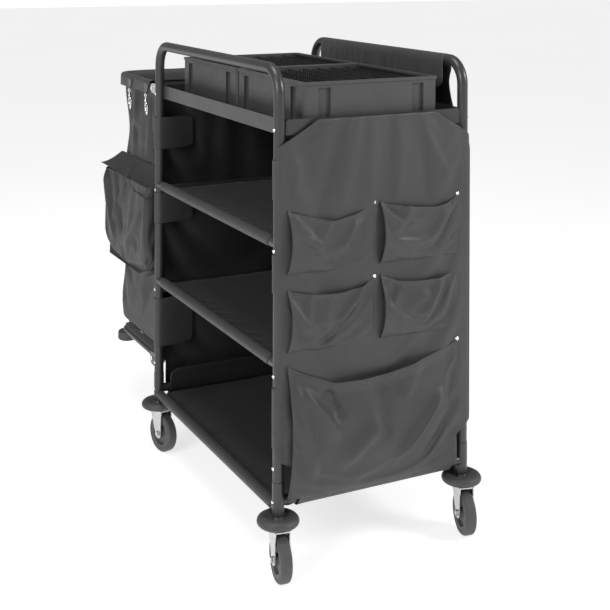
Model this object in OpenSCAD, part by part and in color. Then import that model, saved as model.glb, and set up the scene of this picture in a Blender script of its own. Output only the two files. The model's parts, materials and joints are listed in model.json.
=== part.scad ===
// Housekeeping cart: a four-post tube frame on swivel casters, with three fabric shelves, a sheet
// tray that holds two lift-out bins, a fabric pocket organizer on one end and, on the other end,
// a linen bag that hangs in a folding rim above a folding platform.
// X runs along the cart (+X is the organizer end, -X the bag end), the open side faces -Y, +Z is up.
// The origin is on the floor, midway between the four posts. All lengths are in millimetres.

/* [Frame] */
// Distance between the post centres along the cart
post_span_x = 843; // [800:1:880]
// Distance between the post centres across the cart
post_span_y = 536; // [520:1:560]
// Height over the two handle bars
total_h = 1247; // [1235:1:1275]
// Outside diameter of the frame tubes
tube_d = 28; // [26:0.5:28]
// Outside diameter of the lower leg tubes
leg_d = 30; // [29:0.5:32]
// Wall thickness of the tubes
tube_wall = 2; // [1.5:0.1:2.5]
// Centreline radius of the handle bends
handle_bend_r = 62; // [50:1:80]
// Height of the joint between a leg and its upper tube
leg_joint_z = 231; // [222:1:237]

/* [Shelves and tray] */
// Bar centre heights of the bottom, middle and upper shelves
shelf_bar_zs = [166, 514.5, 807];
// Centre heights of the end rails that go with them
rail_zs = [183, 487.5, 791.5];
// Outside diameter of the shelf bars and end rails
bar_d = 25; // [22:0.5:26]
// Thickness of the fabric over the bars
sleeve_t = 1.5; // [1:0.1:1.9]
// Height of the underside of the top tray
tray_z = 1072; // [1062:1:1075]
// Height of the tray's skirt
tray_h = 39; // [30:1:45]

/* [Bins] */
// Length of one bin along the cart
bin_x = 409; // [380:1:412]
// Width of one bin across the cart
bin_y = 395; // [380:1:420]
// Height of one bin
bin_h = 123; // [100:1:125]
// Number of cells along each side of a bin's insert
insert_cells = 6; // [3:1:8]

/* [Casters] */
// Wheel diameter
wheel_d = 112; // [105:1:116]
// Tread width
wheel_w = 30; // [24:1:31]
// Offset from the swivel axis to the axle
caster_trail = 25; // [22:1:28]
// Diameter of the bumper disc on each post
bumper_d = 105; // [90:1:115]
// Swivel angle of each caster as parked: front and rear organizer end, front and rear bag end
park_angles = [-9, -14, 13, 5];

/* [Bag frames] */
// Distance of both fold pivots from the centre of the cart
pivot_x = 510; // [500:1:525]
// Height of the rim pivot
rim_z = 1093; // [1087:1:1095]
// Centreline reach of the rim from the centre of the cart
rim_reach = 880; // [850:1:885]
// Centreline half width of the rim
rim_half_y = 247; // [243:0.5:248]
// Height of the platform pivot
platform_z = 247; // [245:1:253]
// Centreline reach of the platform from the centre of the cart
platform_reach = 858; // [830:1:865]
// Centreline half width of the platform
platform_half_y = 240; // [236:1:242]
// Diameter of the platform's corner rollers
roller_d = 64; // [50:1:66]

/* [Hidden] */

$fn = 64;
eps = 0.5;                                  // overshoot of a cut past the face it opens
fit = 0.05;                                 // clearance between a fixed part and its seat

post_x = post_span_x / 2;
post_y = post_span_y / 2;
tube_r = tube_d / 2;
leg_r = leg_d / 2;
bar_r = bar_d / 2;
handle_z = total_h - tube_r;                // centre height of the handle bars
corner_signs = [[1, -1], [1, 1], [-1, -1], [-1, 1]];

screw_r = 3;                                // M6 screws throughout the frame
screw_hole_r = 3.2;
screw_head_r = 5.5;
screw_head_h = 2;
nut_h = 3;
tray_screw_z = 1086;
leg_bolt_z = 264;
spigot_top_z = 297;
leg_bore_r = 9;
insert_l = 24;                              // threaded insert in each bar and rail end
screwed_bar_zs = [shelf_bar_zs[1], shelf_bar_zs[2]];    // the bottom bars are welded to the legs

tray_t = 1.5;
tray_end_x = post_x + 8.5;                  // outer face of the tray's end skirts
tray_notch_x = post_x - tube_r - 0.5;
tray_side_y = post_y - 6;                   // outer face of the tray's long skirts
tray_notch_y = post_y - tube_r - 4;

panel_in = tube_r + screw_head_h;           // gap from the post centres to the fabric panels
panel_t = 2;
panel_top_z = 1109;
panel_shoulder_z = 1047;
back_shoulder_z = 1009;
panel_side_z = 288;                         // where the panel leaves the post
panel_bottom_z = 179;
sleeve_spans = [[314, 461], [691, 783], [917, 1014]];
back_sleeve_spans = [[542, 657], [823, 902]];
sleeve_r = panel_in + 1;                    // fabric wrapped round a post
panel_face_x = post_x + panel_in + panel_t;

pocket_front_ys = [-257, -12];
pocket_rear_ys = [4, 239];
upper_pocket_zs = [735, 881];
lower_pocket_zs = [545, 696];
large_pocket_zs = [193, 502];
small_pocket_depth = 22;
large_pocket_depth = 62;

axle_z = wheel_d / 2;
axle_r = 4;
fork_gap = 34;                              // inside width of a fork
fork_t = 3;
fork_half_w = fork_gap / 2 + fork_t;
fork_top_z = 125.5;
leg_foot_z = 149;                           // where a leg tube stands on its caster
race_top_z = 139;
king_r = 6;
king_head_r = 10;
tread_in_r = 41;                            // where the tyre sits on the wheel's core
bumper_foot_z = 126;

rim_tube_r = 10;
rim_bend_r = 60;
platform_tube_r = 9.5;
platform_bend_r = 45;
pin_r = 4;
roller_pin_r = 5;
roller_h = 31;
roller_top = -platform_tube_r - 1;          // from the platform's tubes down to the rollers
loop_wall = 1.5;
arm_end_x = pivot_x - 12;                   // where the arms of both loops end
hem_t = 2;                                  // fabric over the sides of the rim tube
hem_h = 40;
hem_start = pivot_x + 35;
ear_t = 3.5;
rim_ear_gap = 0.8;
platform_ear_gap = 5.5;                     // the platform's arms have bosses this long
hook_xs = [565, 725];
hook_z = 1063;                              // where a hook swings on its strap

bag_out_x = 880;
bag_in_x = post_x + panel_in + panel_t + 8;
bag_half_y = 232;
bag_wall = 3;
bag_floor_z = platform_z + 18;
bag_top_z = 1069;
pouch_front_y = 305;
pouch_zs = [502, 797];
flap_root_z = 841;
flap_drop = 36;
flap_t = 3;

bin_floor_z = tray_z + tray_t;
bin_gap_x = 6;                              // centre of the gap between the bins
bin_gap = 4;
bin_y0 = -200;                              // front face of both bins

// ---------------------------------------------------------------- shared shapes

module at_corners() {
    for (s = corner_signs) translate([s[0] * post_x, s[1] * post_y, 0]) children();
}

module at_ends() {
    for (s = [1, -1]) translate([s * post_x, 0, 0]) children();
}

module ring(r_out, r_in, z0, z1) {
    translate([0, 0, z0]) difference() {
        cylinder(r = r_out, h = z1 - z0);
        translate([0, 0, -eps]) cylinder(r = r_in, h = z1 - z0 + 2 * eps);
    }
}

module along_x(r, x0, x1) {
    translate([x0, 0, 0]) rotate([0, 90, 0]) cylinder(r = r, h = x1 - x0);
}

module along_y(r, y0, y1) {
    translate([0, y0, 0]) rotate([-90, 0, 0]) cylinder(r = r, h = y1 - y0);
}

module block(x0, x1, y0, y1, z0, z1) {
    translate([x0, y0, z0]) cube([x1 - x0, y1 - y0, z1 - z0]);
}

// A rod bent into a U in the XZ plane: two legs down to z0, a bar at z1 and round corners
module handle_rod(r, z0) {
    straight = post_x - handle_bend_r;
    translate([0, 0, handle_z]) along_x(r, -straight, straight);
    for (s = [1, -1]) {
        translate([s * post_x, 0, z0]) cylinder(r = r, h = handle_z - handle_bend_r - z0);
        mirror([s > 0 ? 0 : 1, 0, 0])
            translate([straight, 0, handle_z - handle_bend_r])
                rotate([90, 0, 0]) rotate_extrude(angle = 90) translate([handle_bend_r, 0]) circle(r);
    }
}

// A rod bent into a U in the XY plane, open toward +X, with its arms from x_in to x_out
module loop_rod(r, x_in, x_out, half_y, bend_r) {
    for (s = [1, -1]) {
        translate([0, s * half_y, 0]) along_x(r, x_out + bend_r, x_in);
        mirror([0, s > 0 ? 0 : 1, 0])
            translate([x_out + bend_r, half_y - bend_r, 0])
                rotate([0, 0, 90]) rotate_extrude(angle = 90) translate([bend_r, 0]) circle(r);
    }
    translate([x_out, 0, 0]) along_y(r, bend_r - half_y, half_y - bend_r);
}

// ---------------------------------------------------------------- frame

module screw_holes_in_post() {
    for (s = [1, -1]) translate([s * post_x, 0, 0]) {
        for (z = concat(rail_zs, [tray_screw_z, leg_bolt_z]))
            translate([0, 0, z]) along_y(screw_hole_r, -2 * tube_r, 2 * tube_r);
        for (z = screwed_bar_zs)
            translate([0, 0, z]) along_x(screw_hole_r, -2 * tube_r, 2 * tube_r);
    }
}

module handle_frame(side) {
    translate([0, side * post_y, 0]) difference() {
        handle_rod(tube_r, leg_joint_z);
        handle_rod(tube_r - tube_wall, leg_joint_z - eps);
        screw_holes_in_post();
    }
}

module front_handle_frame() {
    color([0.29, 0.29, 0.30]) handle_frame(-1);
}

module rear_handle_frame() {
    color([0.29, 0.29, 0.30]) handle_frame(1);
}

module leg_tubes() {
    color([0.27, 0.27, 0.28]) at_corners() difference() {
        union() {
            translate([0, 0, leg_foot_z]) cylinder(r = leg_r, h = leg_joint_z - leg_foot_z);
            translate([0, 0, leg_joint_z])
                cylinder(r = tube_r - tube_wall - fit, h = spigot_top_z - leg_joint_z);
        }
        translate([0, 0, leg_foot_z - eps]) cylinder(r = leg_bore_r, h = spigot_top_z);
        translate([0, 0, leg_bolt_z]) along_y(screw_hole_r, -tube_d, tube_d);
        translate([0, 0, rail_zs[0]]) along_y(screw_hole_r, -tube_d, tube_d);
    }
}

// Posts as solid rods, used to cope whatever is butted against them
module post_rods() {
    at_corners() {
        cylinder(r = leg_r + fit / 5, h = leg_joint_z);
        translate([0, 0, leg_joint_z - eps]) cylinder(r = tube_r + fit / 5, h = total_h);
    }
}

module end_rails() {
    color([0.25, 0.25, 0.26]) difference() {
        for (z = rail_zs) translate([0, 0, z]) at_ends() difference() {
            along_y(bar_r, -post_y, post_y);
            along_y(bar_r - tube_wall, -post_y - eps, post_y + eps);
        }
        post_rods();
    }
}

module shelf_bars(z) {
    color([0.25, 0.25, 0.26]) difference() {
        for (s = [1, -1]) translate([0, s * post_y, z]) difference() {
            along_x(bar_r, -post_x, post_x);
            along_x(bar_r - tube_wall, -post_x - eps, post_x + eps);
        }
        post_rods();
    }
}

module upper_shelf_bars() { shelf_bars(shelf_bar_zs[2]); }
module middle_shelf_bars() { shelf_bars(shelf_bar_zs[1]); }
module bottom_shelf_bars() { shelf_bars(shelf_bar_zs[0]); }

// A button-head screw whose head stands on the plane z = 0 and whose shank goes down
module button_screw(shank) {
    cylinder(r1 = screw_head_r, r2 = screw_head_r - 2, h = screw_head_h);
    translate([0, 0, -shank]) cylinder(r = screw_r, h = shank);
}

// A nut on the shank, its upper face at the given depth
module screw_nut(depth) {
    ring(screw_head_r, screw_r + fit, -depth - nut_h, -depth);
}

// A screw through a post and the threaded plug that it holds in the end of a rail or bar
module rail_screw(z) {
    face = z < leg_joint_z ? leg_r : tube_r;
    plug_depth = face + leg_r + 2;
    translate([0, 0, face]) {
        button_screw(plug_depth + insert_l - 4);
        ring(bar_r - tube_wall - fit, screw_r + fit, -plug_depth - insert_l, -plug_depth);
    }
}

module frame_fasteners() {
    spacer_t = post_y - tube_r - tray_notch_y;
    color([0.8, 0.8, 0.82]) for (s = corner_signs) translate([s[0] * post_x, s[1] * post_y, 0]) {
        for (z = rail_zs) translate([0, 0, z]) rotate([-s[1] * 90, 0, 0]) rail_screw(z);
        for (z = screwed_bar_zs) translate([0, 0, z]) rotate([0, s[0] * 90, 0]) rail_screw(z);
        translate([0, s[1] * tube_r, tray_screw_z]) rotate([-s[1] * 90, 0, 0]) {
            button_screw(tube_d + spacer_t + tray_t + nut_h + 1);
            screw_nut(tube_d + spacer_t + tray_t);
        }
        translate([0, s[1] * tube_r, leg_bolt_z]) rotate([-s[1] * 90, 0, 0]) {
            button_screw(tube_d + nut_h + 1);
            screw_nut(tube_d);
        }
    }
}

// ---------------------------------------------------------------- tray and bins

module tray_plan(inset) {
    square([2 * (tray_end_x - inset), 2 * (tray_notch_y - inset)], center = true);
    square([2 * (tray_notch_x - inset), 2 * (tray_side_y - inset)], center = true);
}

module top_tray() {
    color([0.32, 0.32, 0.33]) difference() {
        translate([0, 0, tray_z]) linear_extrude(tray_h) tray_plan(0);
        translate([0, 0, tray_z + tray_t]) linear_extrude(tray_h) tray_plan(tray_t);
        for (s = [1, -1]) translate([s * post_x, 0, tray_screw_z])
            along_y(screw_hole_r, -post_y, post_y);
    }
}

// Plates that fill the gap between each post and the tray's wall
module tray_spacers() {
    color([0.3, 0.3, 0.31]) difference() {
        for (s = corner_signs)
            translate([s[0] * post_x, s[1] * (tray_notch_y + 2), tray_z + tray_h / 2])
                cube([16, 4, tray_h - 6], center = true);
        post_rods();
        for (s = [1, -1]) translate([s * post_x, 0, tray_screw_z])
            along_y(screw_hole_r, -post_y, post_y);
    }
}

module rounded_box(x, y, h, r) {
    translate([r, 0, 0]) cube([x - 2 * r, y, h]);
    translate([0, r, 0]) cube([x, y - 2 * r, h]);
    for (px = [r, x - r], py = [r, y - r]) translate([px, py, 0]) cylinder(r = r, h = h);
}

// One stacking bin: a lip round the top and two upright grooves in each side wall
module bin() {
    lip = 3;
    lip_h = 7;
    wall = 12;
    groove_w = 34;
    groove_deep = 7;
    groove_in = 44;                         // from a corner to the near side of a groove
    groove_z = 14;
    groove_h = bin_h - groove_z - lip_h - 8;
    cut = lip + groove_deep;
    difference() {
        union() {
            translate([lip, lip, 0]) rounded_box(bin_x - 2 * lip, bin_y - 2 * lip, bin_h, 9);
            translate([0, 0, bin_h - lip_h]) rounded_box(bin_x, bin_y, lip_h, 12);
        }
        translate([wall, wall, 3]) rounded_box(bin_x - 2 * wall, bin_y - 2 * wall, bin_h, 3);
        for (x = [groove_in, bin_x - groove_in - groove_w], y = [-eps, bin_y - cut])
            translate([x, y, groove_z]) cube([groove_w, cut + eps, groove_h]);
        for (y = [groove_in, bin_y - groove_in - groove_w], x = [-eps, bin_x - cut])
            translate([x, y, groove_z]) cube([cut + eps, groove_w, groove_h]);
    }
}

module at_bin(side) {
    x0 = side > 0 ? bin_gap_x + bin_gap / 2 : bin_gap_x - bin_gap / 2 - bin_x;
    translate([x0, bin_y0, bin_floor_z]) children();
}

module bin_organizer_end() {
    color([0.34, 0.34, 0.35]) at_bin(1) bin();
}

module bin_bag_end() {
    color([0.34, 0.34, 0.35]) at_bin(-1) bin();
}

// Crossed plates that stand in a bin and divide it into cells
module insert() {
    margin = 13;
    t = 2;
    foot = 4;
    lx = bin_x - 2 * margin;
    ly = bin_y - 2 * margin;
    h = bin_h - foot - 3;
    translate([margin, margin, foot]) {
        for (i = [0:insert_cells]) {
            translate([i * (lx - t) / insert_cells, 0, 0]) cube([t, ly, h]);
            translate([0, i * (ly - t) / insert_cells, 0]) cube([lx, t, h]);
        }
    }
}

module insert_organizer_end() {
    color([0.1, 0.1, 0.1]) at_bin(1) insert();
}

module insert_bag_end() {
    color([0.1, 0.1, 0.1]) at_bin(-1) insert();
}

// ---------------------------------------------------------------- fabric shelves and panels

module shelf_cover(z) {
    sleeve_end = post_x - 38;
    sheet_t = 3;
    sheet_y = post_y - bar_r;
    sheet_top = z - 1;
    rail_gap = 0.5;
    color([0.22, 0.22, 0.23]) difference() {
        union() {
            for (s = [1, -1]) translate([0, s * post_y, z])
                along_x(bar_r + sleeve_t, -sleeve_end, sleeve_end);
            block(tube_r - post_x, post_x - tube_r, -sheet_y, sheet_y, sheet_top - sheet_t, sheet_top);
        }
        for (s = [1, -1]) translate([0, s * post_y, z]) along_x(bar_r + fit, -post_x, post_x);
        for (z = rail_zs) translate([0, 0, z]) at_ends() along_y(bar_r + rail_gap, -post_y, post_y);
        at_corners() cylinder(r = leg_r + 1, h = total_h);
    }
}

module upper_shelf_cover() { shelf_cover(shelf_bar_zs[2]); }
module middle_shelf_cover() { shelf_cover(shelf_bar_zs[1]); }
module bottom_shelf_cover() { shelf_cover(shelf_bar_zs[0]); }

// Edge of a hanging panel from the end of its top to its side. A lower power drops sooner.
function shoulder(y_top, y_side, z_top, z_side, power) =
    [for (i = [0:8]) [y_top + (y_side - y_top) * i / 8, z_top + (z_side - z_top) * pow(i / 8, power)]];

module panel_outline(y_top, y_side, y_low, z_top, z_side, power) {
    half = concat(
        shoulder(y_top, y_side, z_top, z_side, power),
        [[y_side, panel_side_z], [y_low, panel_side_z], [y_low, panel_bottom_z]]
    );
    for (s = [0, 1]) mirror([s, 0]) polygon(concat(half, [[-1, panel_bottom_z], [-1, z_top]]));
}

// Fabric wrapped round a post, or the room that another panel leaves for it
module post_sleeves(spans, r_out, r_in) {
    for (span = spans) ring(r_out, r_in, span[0], span[1]);
}

// An end panel wraps both posts in bands, and its lower edge loops round the bottom rail and
// comes up inside as a short flap
module end_panel(side) {
    x = post_x + panel_in;
    side_gap = 2;
    low_y = side > 0 ? 220 : 238;
    flap_top_z = 243;
    mirror([side > 0 ? 0 : 1, 0, 0]) difference() {
        union() {
            translate([x, 0, 0]) rotate([90, 0, 90]) linear_extrude(panel_t)
                panel_outline(170, post_y - side_gap, low_y, panel_top_z, panel_shoulder_z, 0.87);
            for (s = [1, -1]) translate([post_x, s * post_y, 0])
                post_sleeves(sleeve_spans, sleeve_r, tube_r + fit);
            translate([post_x, 0, rail_zs[0]]) along_y(sleeve_r, -low_y, low_y);
            block(post_x - sleeve_r, post_x - sleeve_r + panel_t, -low_y, low_y,
                  rail_zs[0], flap_top_z);
        }
        for (z = rail_zs) translate([post_x, 0, z]) along_y(bar_r + fit, -post_y, post_y);
        translate([post_x, post_y, 0]) post_sleeves(back_sleeve_spans, sleeve_r + fit, 0.1);
    }
}

module organizer_panel() {
    color([0.24, 0.24, 0.25]) end_panel(1);
}

module bag_end_panel() {
    color([0.24, 0.24, 0.25]) end_panel(-1);
}

// The back panel also wraps both rear posts, and its top goes over the handle bar and hangs
// inside as a short flap
module back_panel() {
    top_half = 335;
    bar_sleeve_x = 350;
    bar_sleeve_r = panel_in + 0.5;
    flap_z = 1153;
    flap_y = post_y - bar_sleeve_r;
    side_gap = 2;
    color([0.22, 0.22, 0.23]) difference() {
        union() {
            translate([0, post_y + panel_in + panel_t, 0]) rotate([90, 0, 0]) linear_extrude(panel_t)
                panel_outline(top_half, post_x - side_gap, 380, handle_z, back_shoulder_z, 0.5);
            translate([0, post_y, handle_z]) along_x(bar_sleeve_r, -bar_sleeve_x, bar_sleeve_x);
            block(-bar_sleeve_x, bar_sleeve_x, flap_y, flap_y + panel_t, flap_z, handle_z);
            for (s = [1, -1]) translate([s * post_x, post_y, 0])
                post_sleeves(back_sleeve_spans, sleeve_r, tube_r + fit);
        }
        translate([0, post_y, handle_z]) along_x(tube_r + fit, -post_x, post_x);
        for (s = [1, -1]) translate([s * post_x, post_y, 0])
            post_sleeves(sleeve_spans, sleeve_r + fit, 0.1);
        for (z = shelf_bar_zs) translate([0, post_y, z]) along_x(bar_r + fit, -post_x, post_x);
    }
}

// An open-topped pocket on the organizer panel: a folded sheet that stands out at the top.
// ys and zs are its ends across and in height.
module pocket(ys, zs, depth) {
    t = 1.5;
    foot = depth * 0.45;
    swell_z = zs[0] + 0.3 * (zs[1] - zs[0]);
    w = ys[1] - ys[0];
    color([0.25, 0.25, 0.26]) translate([panel_face_x, ys[1], 0]) rotate([90, 0, 0]) difference() {
        linear_extrude(w)
            polygon([[0, zs[0]], [foot, zs[0]], [depth, swell_z], [depth, zs[1]], [0, zs[1]]]);
        translate([0, 0, t]) linear_extrude(w - 2 * t)
            polygon([
                [t, zs[0] + t], [foot - t / 2, zs[0] + t], [depth - t, swell_z],
                [depth - t, zs[1] + eps], [t, zs[1] + eps]
            ]);
    }
}

module pocket_upper_front() { pocket(pocket_front_ys, upper_pocket_zs, small_pocket_depth); }
module pocket_upper_rear() { pocket(pocket_rear_ys, upper_pocket_zs, small_pocket_depth); }
module pocket_lower_front() { pocket(pocket_front_ys, lower_pocket_zs, small_pocket_depth); }
module pocket_lower_rear() { pocket(pocket_rear_ys, lower_pocket_zs, small_pocket_depth); }

module large_pocket() {
    pocket([pocket_front_ys[0], pocket_rear_ys[1]], large_pocket_zs, large_pocket_depth);
}

// Press studs that pin the pockets' upper corners to the panel
module pocket_snaps() {
    stud_r = 5;
    stud_h = 3;
    over = 2;                               // from a pocket's corner to the stud beside it
    columns = [pocket_front_ys[1] + over, pocket_rear_ys[1] + over];
    rows = [upper_pocket_zs[1] + 9, lower_pocket_zs[1] + 8];
    spots = concat([for (y = columns, z = rows) [y, z]], [[columns[1], large_pocket_zs[1] + 9]]);
    color([0.8, 0.8, 0.82]) for (p = spots)
        translate([panel_face_x, p[0], p[1]]) rotate([0, 90, 0]) {
            cylinder(r = stud_r, h = 1);
            cylinder(r1 = stud_r, r2 = stud_r - 2, h = stud_h);
        }
}

// ---------------------------------------------------------------- casters

function ease(t) = t * t * (3 - 2 * t);

// Bumper disc round each leg: a dished top inside a round rim, and a hollow underside
module post_bumpers() {
    mid_z = 136.5;
    rim_r = bumper_d / 2;
    crest_r = 38;
    crest_h = 12.5;
    lip_r = 40;
    hollow_r = 37;
    dish_z = 143;
    profile = concat(
        [[leg_r + fit, race_top_z], [leg_r + fit, dish_z]],
        [for (t = [0.25:0.25:0.75])
            [leg_r + (crest_r - leg_r) * t, dish_z + (mid_z + crest_h - dish_z) * ease(t)]],
        [for (a = [0:10:90]) [crest_r + (rim_r - crest_r) * sin(a), mid_z + crest_h * cos(a)]],
        [for (a = [105:15:180])
            [lip_r + (rim_r - lip_r) * sin(a), mid_z + (mid_z - bumper_foot_z) * cos(a)]],
        [[hollow_r, bumper_foot_z], [hollow_r, race_top_z]]
    );
    color([0.36, 0.36, 0.37]) at_corners() rotate_extrude() polygon(profile);
}

// Stem in the leg, collar, king bolt and its nut below the fork
module caster_stems() {
    plug_l = 12;
    nut_h = 6.4;
    gap = 0.1;
    nut_top = fork_top_z - fork_t - gap;
    color([0.6, 0.6, 0.62]) at_corners() {
        translate([0, 0, leg_foot_z]) cylinder(r = leg_bore_r - fit, h = plug_l);
        translate([0, 0, race_top_z]) cylinder(r = leg_r - 1, h = leg_foot_z - race_top_z);
        translate([0, 0, nut_top - 1]) cylinder(r = king_r, h = race_top_z - nut_top + 1);
        translate([0, 0, nut_top - nut_h]) cylinder(r = king_head_r, h = nut_h, $fn = 6);
    }
}

// Fixed upper half of each swivel bearing
module swivel_races() {
    race_r = 28;
    lower_r = 21;
    lower_h = 4;
    gap = 0.1;
    color([0.7, 0.7, 0.72]) at_corners() {
        ring(race_r, king_r + fit, fork_top_z + lower_h, race_top_z);
        ring(lower_r, king_r + fit, fork_top_z + gap, fork_top_z + lower_h);
    }
}

// Places a child drawn for one caster: post axis at the origin, axle out along +X
module at_caster(i) {
    s = corner_signs[i];
    translate([s[0] * post_x, s[1] * post_y, 0]) rotate([0, 0, park_angles[i]]) children();
}

module fork(i) {
    axle_end_r = 14;
    crown_x0 = -20;
    crown_x1 = 41;
    crown_disc_r = 27;
    plate = [
        [crown_x0, fork_top_z], [crown_x1, fork_top_z],
        [caster_trail + axle_end_r, axle_z], [caster_trail - axle_end_r, axle_z]
    ];
    color([0.82, 0.82, 0.84]) at_caster(i) difference() {
        union() {
            block(crown_x0, crown_x1, -fork_half_w, fork_half_w, fork_top_z - fork_t, fork_top_z);
            translate([0, 0, fork_top_z - fork_t]) cylinder(r = crown_disc_r, h = fork_t);
            for (y = [fork_t - fork_half_w, fork_half_w]) translate([0, y, 0]) rotate([90, 0, 0])
                linear_extrude(fork_t) {
                    polygon(plate);
                    translate([caster_trail, axle_z]) circle(axle_end_r);
                }
        }
        cylinder(r = king_r + 0.08, h = total_h);
        translate([caster_trail, 0, axle_z]) along_y(axle_r + 0.02, -2 * fork_half_w, 2 * fork_half_w);
    }
}

module axle(i) {
    washer_r = 9;
    washer_t = 1.2;
    nut_r = 7;
    nut_l = 4.5;
    color([0.75, 0.75, 0.77]) at_caster(i) translate([caster_trail, 0, axle_z]) {
        along_y(axle_r, -fork_half_w, fork_half_w);
        for (s = [0, 1]) mirror([0, s, 0]) translate([0, fork_half_w, 0]) rotate([-90, 0, 0]) {
            cylinder(r = washer_r, h = washer_t);
            translate([0, 0, washer_t]) cylinder(r = nut_r, h = nut_l, $fn = 6);
        }
    }
}

// Wheel core: a boss on the axle, a thin web and the rim that carries the tyre
module hub(i) {
    bore_r = axle_r + 0.06;
    boss_r = 12;
    boss_w = fork_gap / 2 - 1;
    web_w = 7;
    rim_w = wheel_w / 2 - 1;
    rim_in_r = tread_in_r - 6;
    half = [
        [bore_r, boss_w], [boss_r, boss_w], [boss_r + 2, web_w + 2], [rim_in_r - 4, web_w],
        [rim_in_r, rim_w], [tread_in_r, rim_w]
    ];
    color([0.38, 0.38, 0.39]) at_caster(i) translate([caster_trail, 0, axle_z]) rotate([90, 0, 0])
        rotate_extrude() polygon(concat(
            [for (p = half) [p[0], -p[1]]],
            [for (i = [len(half) - 1:-1:0]) half[i]]
        ));
}

module tyre(i) {
    half_w = wheel_w / 2;
    edge_r = 8;
    outer = wheel_d / 2;
    seat_r = tread_in_r + fit;
    color([0.4, 0.4, 0.41]) at_caster(i) translate([caster_trail, 0, axle_z]) rotate([90, 0, 0])
        rotate_extrude() polygon(concat(
            [[seat_r, 1 - half_w]],
            [for (a = [0:15:90]) [outer - edge_r + edge_r * sin(a), -half_w + edge_r - edge_r * cos(a)]],
            [for (a = [90:15:180]) [outer - edge_r + edge_r * sin(a), half_w - edge_r - edge_r * cos(a)]],
            [[seat_r, half_w - 1]]
        ));
}

// ---------------------------------------------------------------- bag frames

// A loop of tube that folds about the pivots, with its bore and pin holes cut
module folding_loop_cuts(r, reach, half_y, bend_r) {
    loop_rod(r - loop_wall, -arm_end_x + eps, -reach, half_y, bend_r);
    translate([-pivot_x, 0, 0]) along_y(pin_r + 0.06, -post_y, post_y);
}

module rim_frame() {
    color([0.3, 0.3, 0.31]) translate([0, 0, rim_z]) difference() {
        loop_rod(rim_tube_r, -arm_end_x, -rim_reach, rim_half_y, rim_bend_r);
        folding_loop_cuts(rim_tube_r, rim_reach, rim_half_y, rim_bend_r);
    }
}

// Flat band of fabric that wraps the rim tube
module hem_section() {
    difference() {
        square([2 * (rim_tube_r + hem_t), hem_h], center = true);
        circle(rim_tube_r + fit);
    }
}

module rim_hem() {
    bend_x = -rim_reach + rim_bend_r;
    bend_y = rim_half_y - rim_bend_r;
    color([0.26, 0.26, 0.27]) translate([0, 0, rim_z]) {
        for (s = [1, -1]) {
            translate([-hem_start, s * rim_half_y, 0]) rotate([90, 0, -90])
                linear_extrude(-hem_start - bend_x) hem_section();
            mirror([0, s > 0 ? 0 : 1, 0]) translate([bend_x, bend_y, 0]) rotate([0, 0, 90])
                rotate_extrude(angle = 90) translate([rim_bend_r, 0]) hem_section();
        }
        translate([-rim_reach, bend_y, 0]) rotate([90, 0, 0]) linear_extrude(2 * bend_y) hem_section();
    }
}

// A pair of ears welded to the bag-end posts, with a round end at the pivot
module pivot_ears(z, y_in, r) {
    difference() {
        for (s = [1, -1]) mirror([0, s > 0 ? 0 : 1, 0]) translate([0, y_in, z]) {
            translate([-pivot_x, 0, 0]) along_y(r, 0, ear_t);
            block(-pivot_x, -post_x - 4, 0, ear_t, -r, r);
        }
        post_rods();
        translate([-pivot_x, 0, z]) along_y(pin_r + 0.02, -post_y, post_y);
    }
}

module rim_brackets() {
    color([0.7, 0.7, 0.72]) pivot_ears(rim_z, rim_half_y + rim_tube_r + rim_ear_gap, 15);
}

module platform_brackets() {
    color([0.3, 0.3, 0.31])
        pivot_ears(platform_z, platform_half_y + platform_tube_r + platform_ear_gap, 20);
}

// Rivets through the ears and the ends of a folding frame
module ear_rivets(z, y_in, y_out) {
    head_r = 7.5;
    head_t = 3;
    for (s = [0, 1]) mirror([0, s, 0]) translate([-pivot_x, 0, z]) {
        along_y(pin_r, y_in, y_out);
        along_y(head_r, y_out, y_out + head_t);
        along_y(head_r, y_in - head_t, y_in);
    }
}

module pivot_rivets() {
    gap = 0.2;
    rim_out = rim_half_y + rim_tube_r + rim_ear_gap + ear_t;
    platform_out = platform_half_y + platform_tube_r + platform_ear_gap + ear_t;
    color([0.8, 0.8, 0.82]) {
        ear_rivets(rim_z, rim_half_y - rim_tube_r - gap, rim_out + gap);
        ear_rivets(platform_z, platform_half_y - platform_tube_r - gap, platform_out + gap);
    }
}

// A pair of snap hooks, one each side, that hang from straps on the rim's hem
module snap_hooks(x) {
    t = 5;
    eye_r = 8;
    hook_r = 10;
    shank_l = 46;
    gap = 1.2;
    color([0.65, 0.65, 0.67]) for (s = [0, 1]) mirror([0, s, 0])
        translate([x, rim_half_y + rim_tube_r + hem_t + gap, 0]) {
            translate([0, 0, hook_z]) rotate([-90, 0, 0]) ring(eye_r, eye_r - 3, 0, t);
            block(-4, 4, 0, t, hook_z - shank_l, hook_z - eye_r + 1);
            translate([0, 0, hook_z - shank_l - 7]) rotate([-90, 0, 0]) ring(hook_r, hook_r - 4, 0, t);
        }
}

module snap_hooks_inner() { snap_hooks(-hook_xs[0]); }
module snap_hooks_outer() { snap_hooks(-hook_xs[1]); }

module platform_frame() {
    boss_r = 8;
    color([0.33, 0.33, 0.34]) translate([0, 0, platform_z]) difference() {
        union() {
            loop_rod(platform_tube_r, -arm_end_x, -platform_reach, platform_half_y, platform_bend_r);
            for (s = [0, 1]) mirror([0, s, 0]) translate([-pivot_x, platform_half_y, 0])
                along_y(boss_r, 0, platform_tube_r + platform_ear_gap - 0.5);
        }
        folding_loop_cuts(platform_tube_r, platform_reach, platform_half_y, platform_bend_r);
        for (s = [1, -1]) translate([0, 0, -platform_z]) at_roller(s)
            cylinder(r = roller_pin_r + fit, h = 4 * platform_tube_r, center = true);
    }
}

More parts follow.
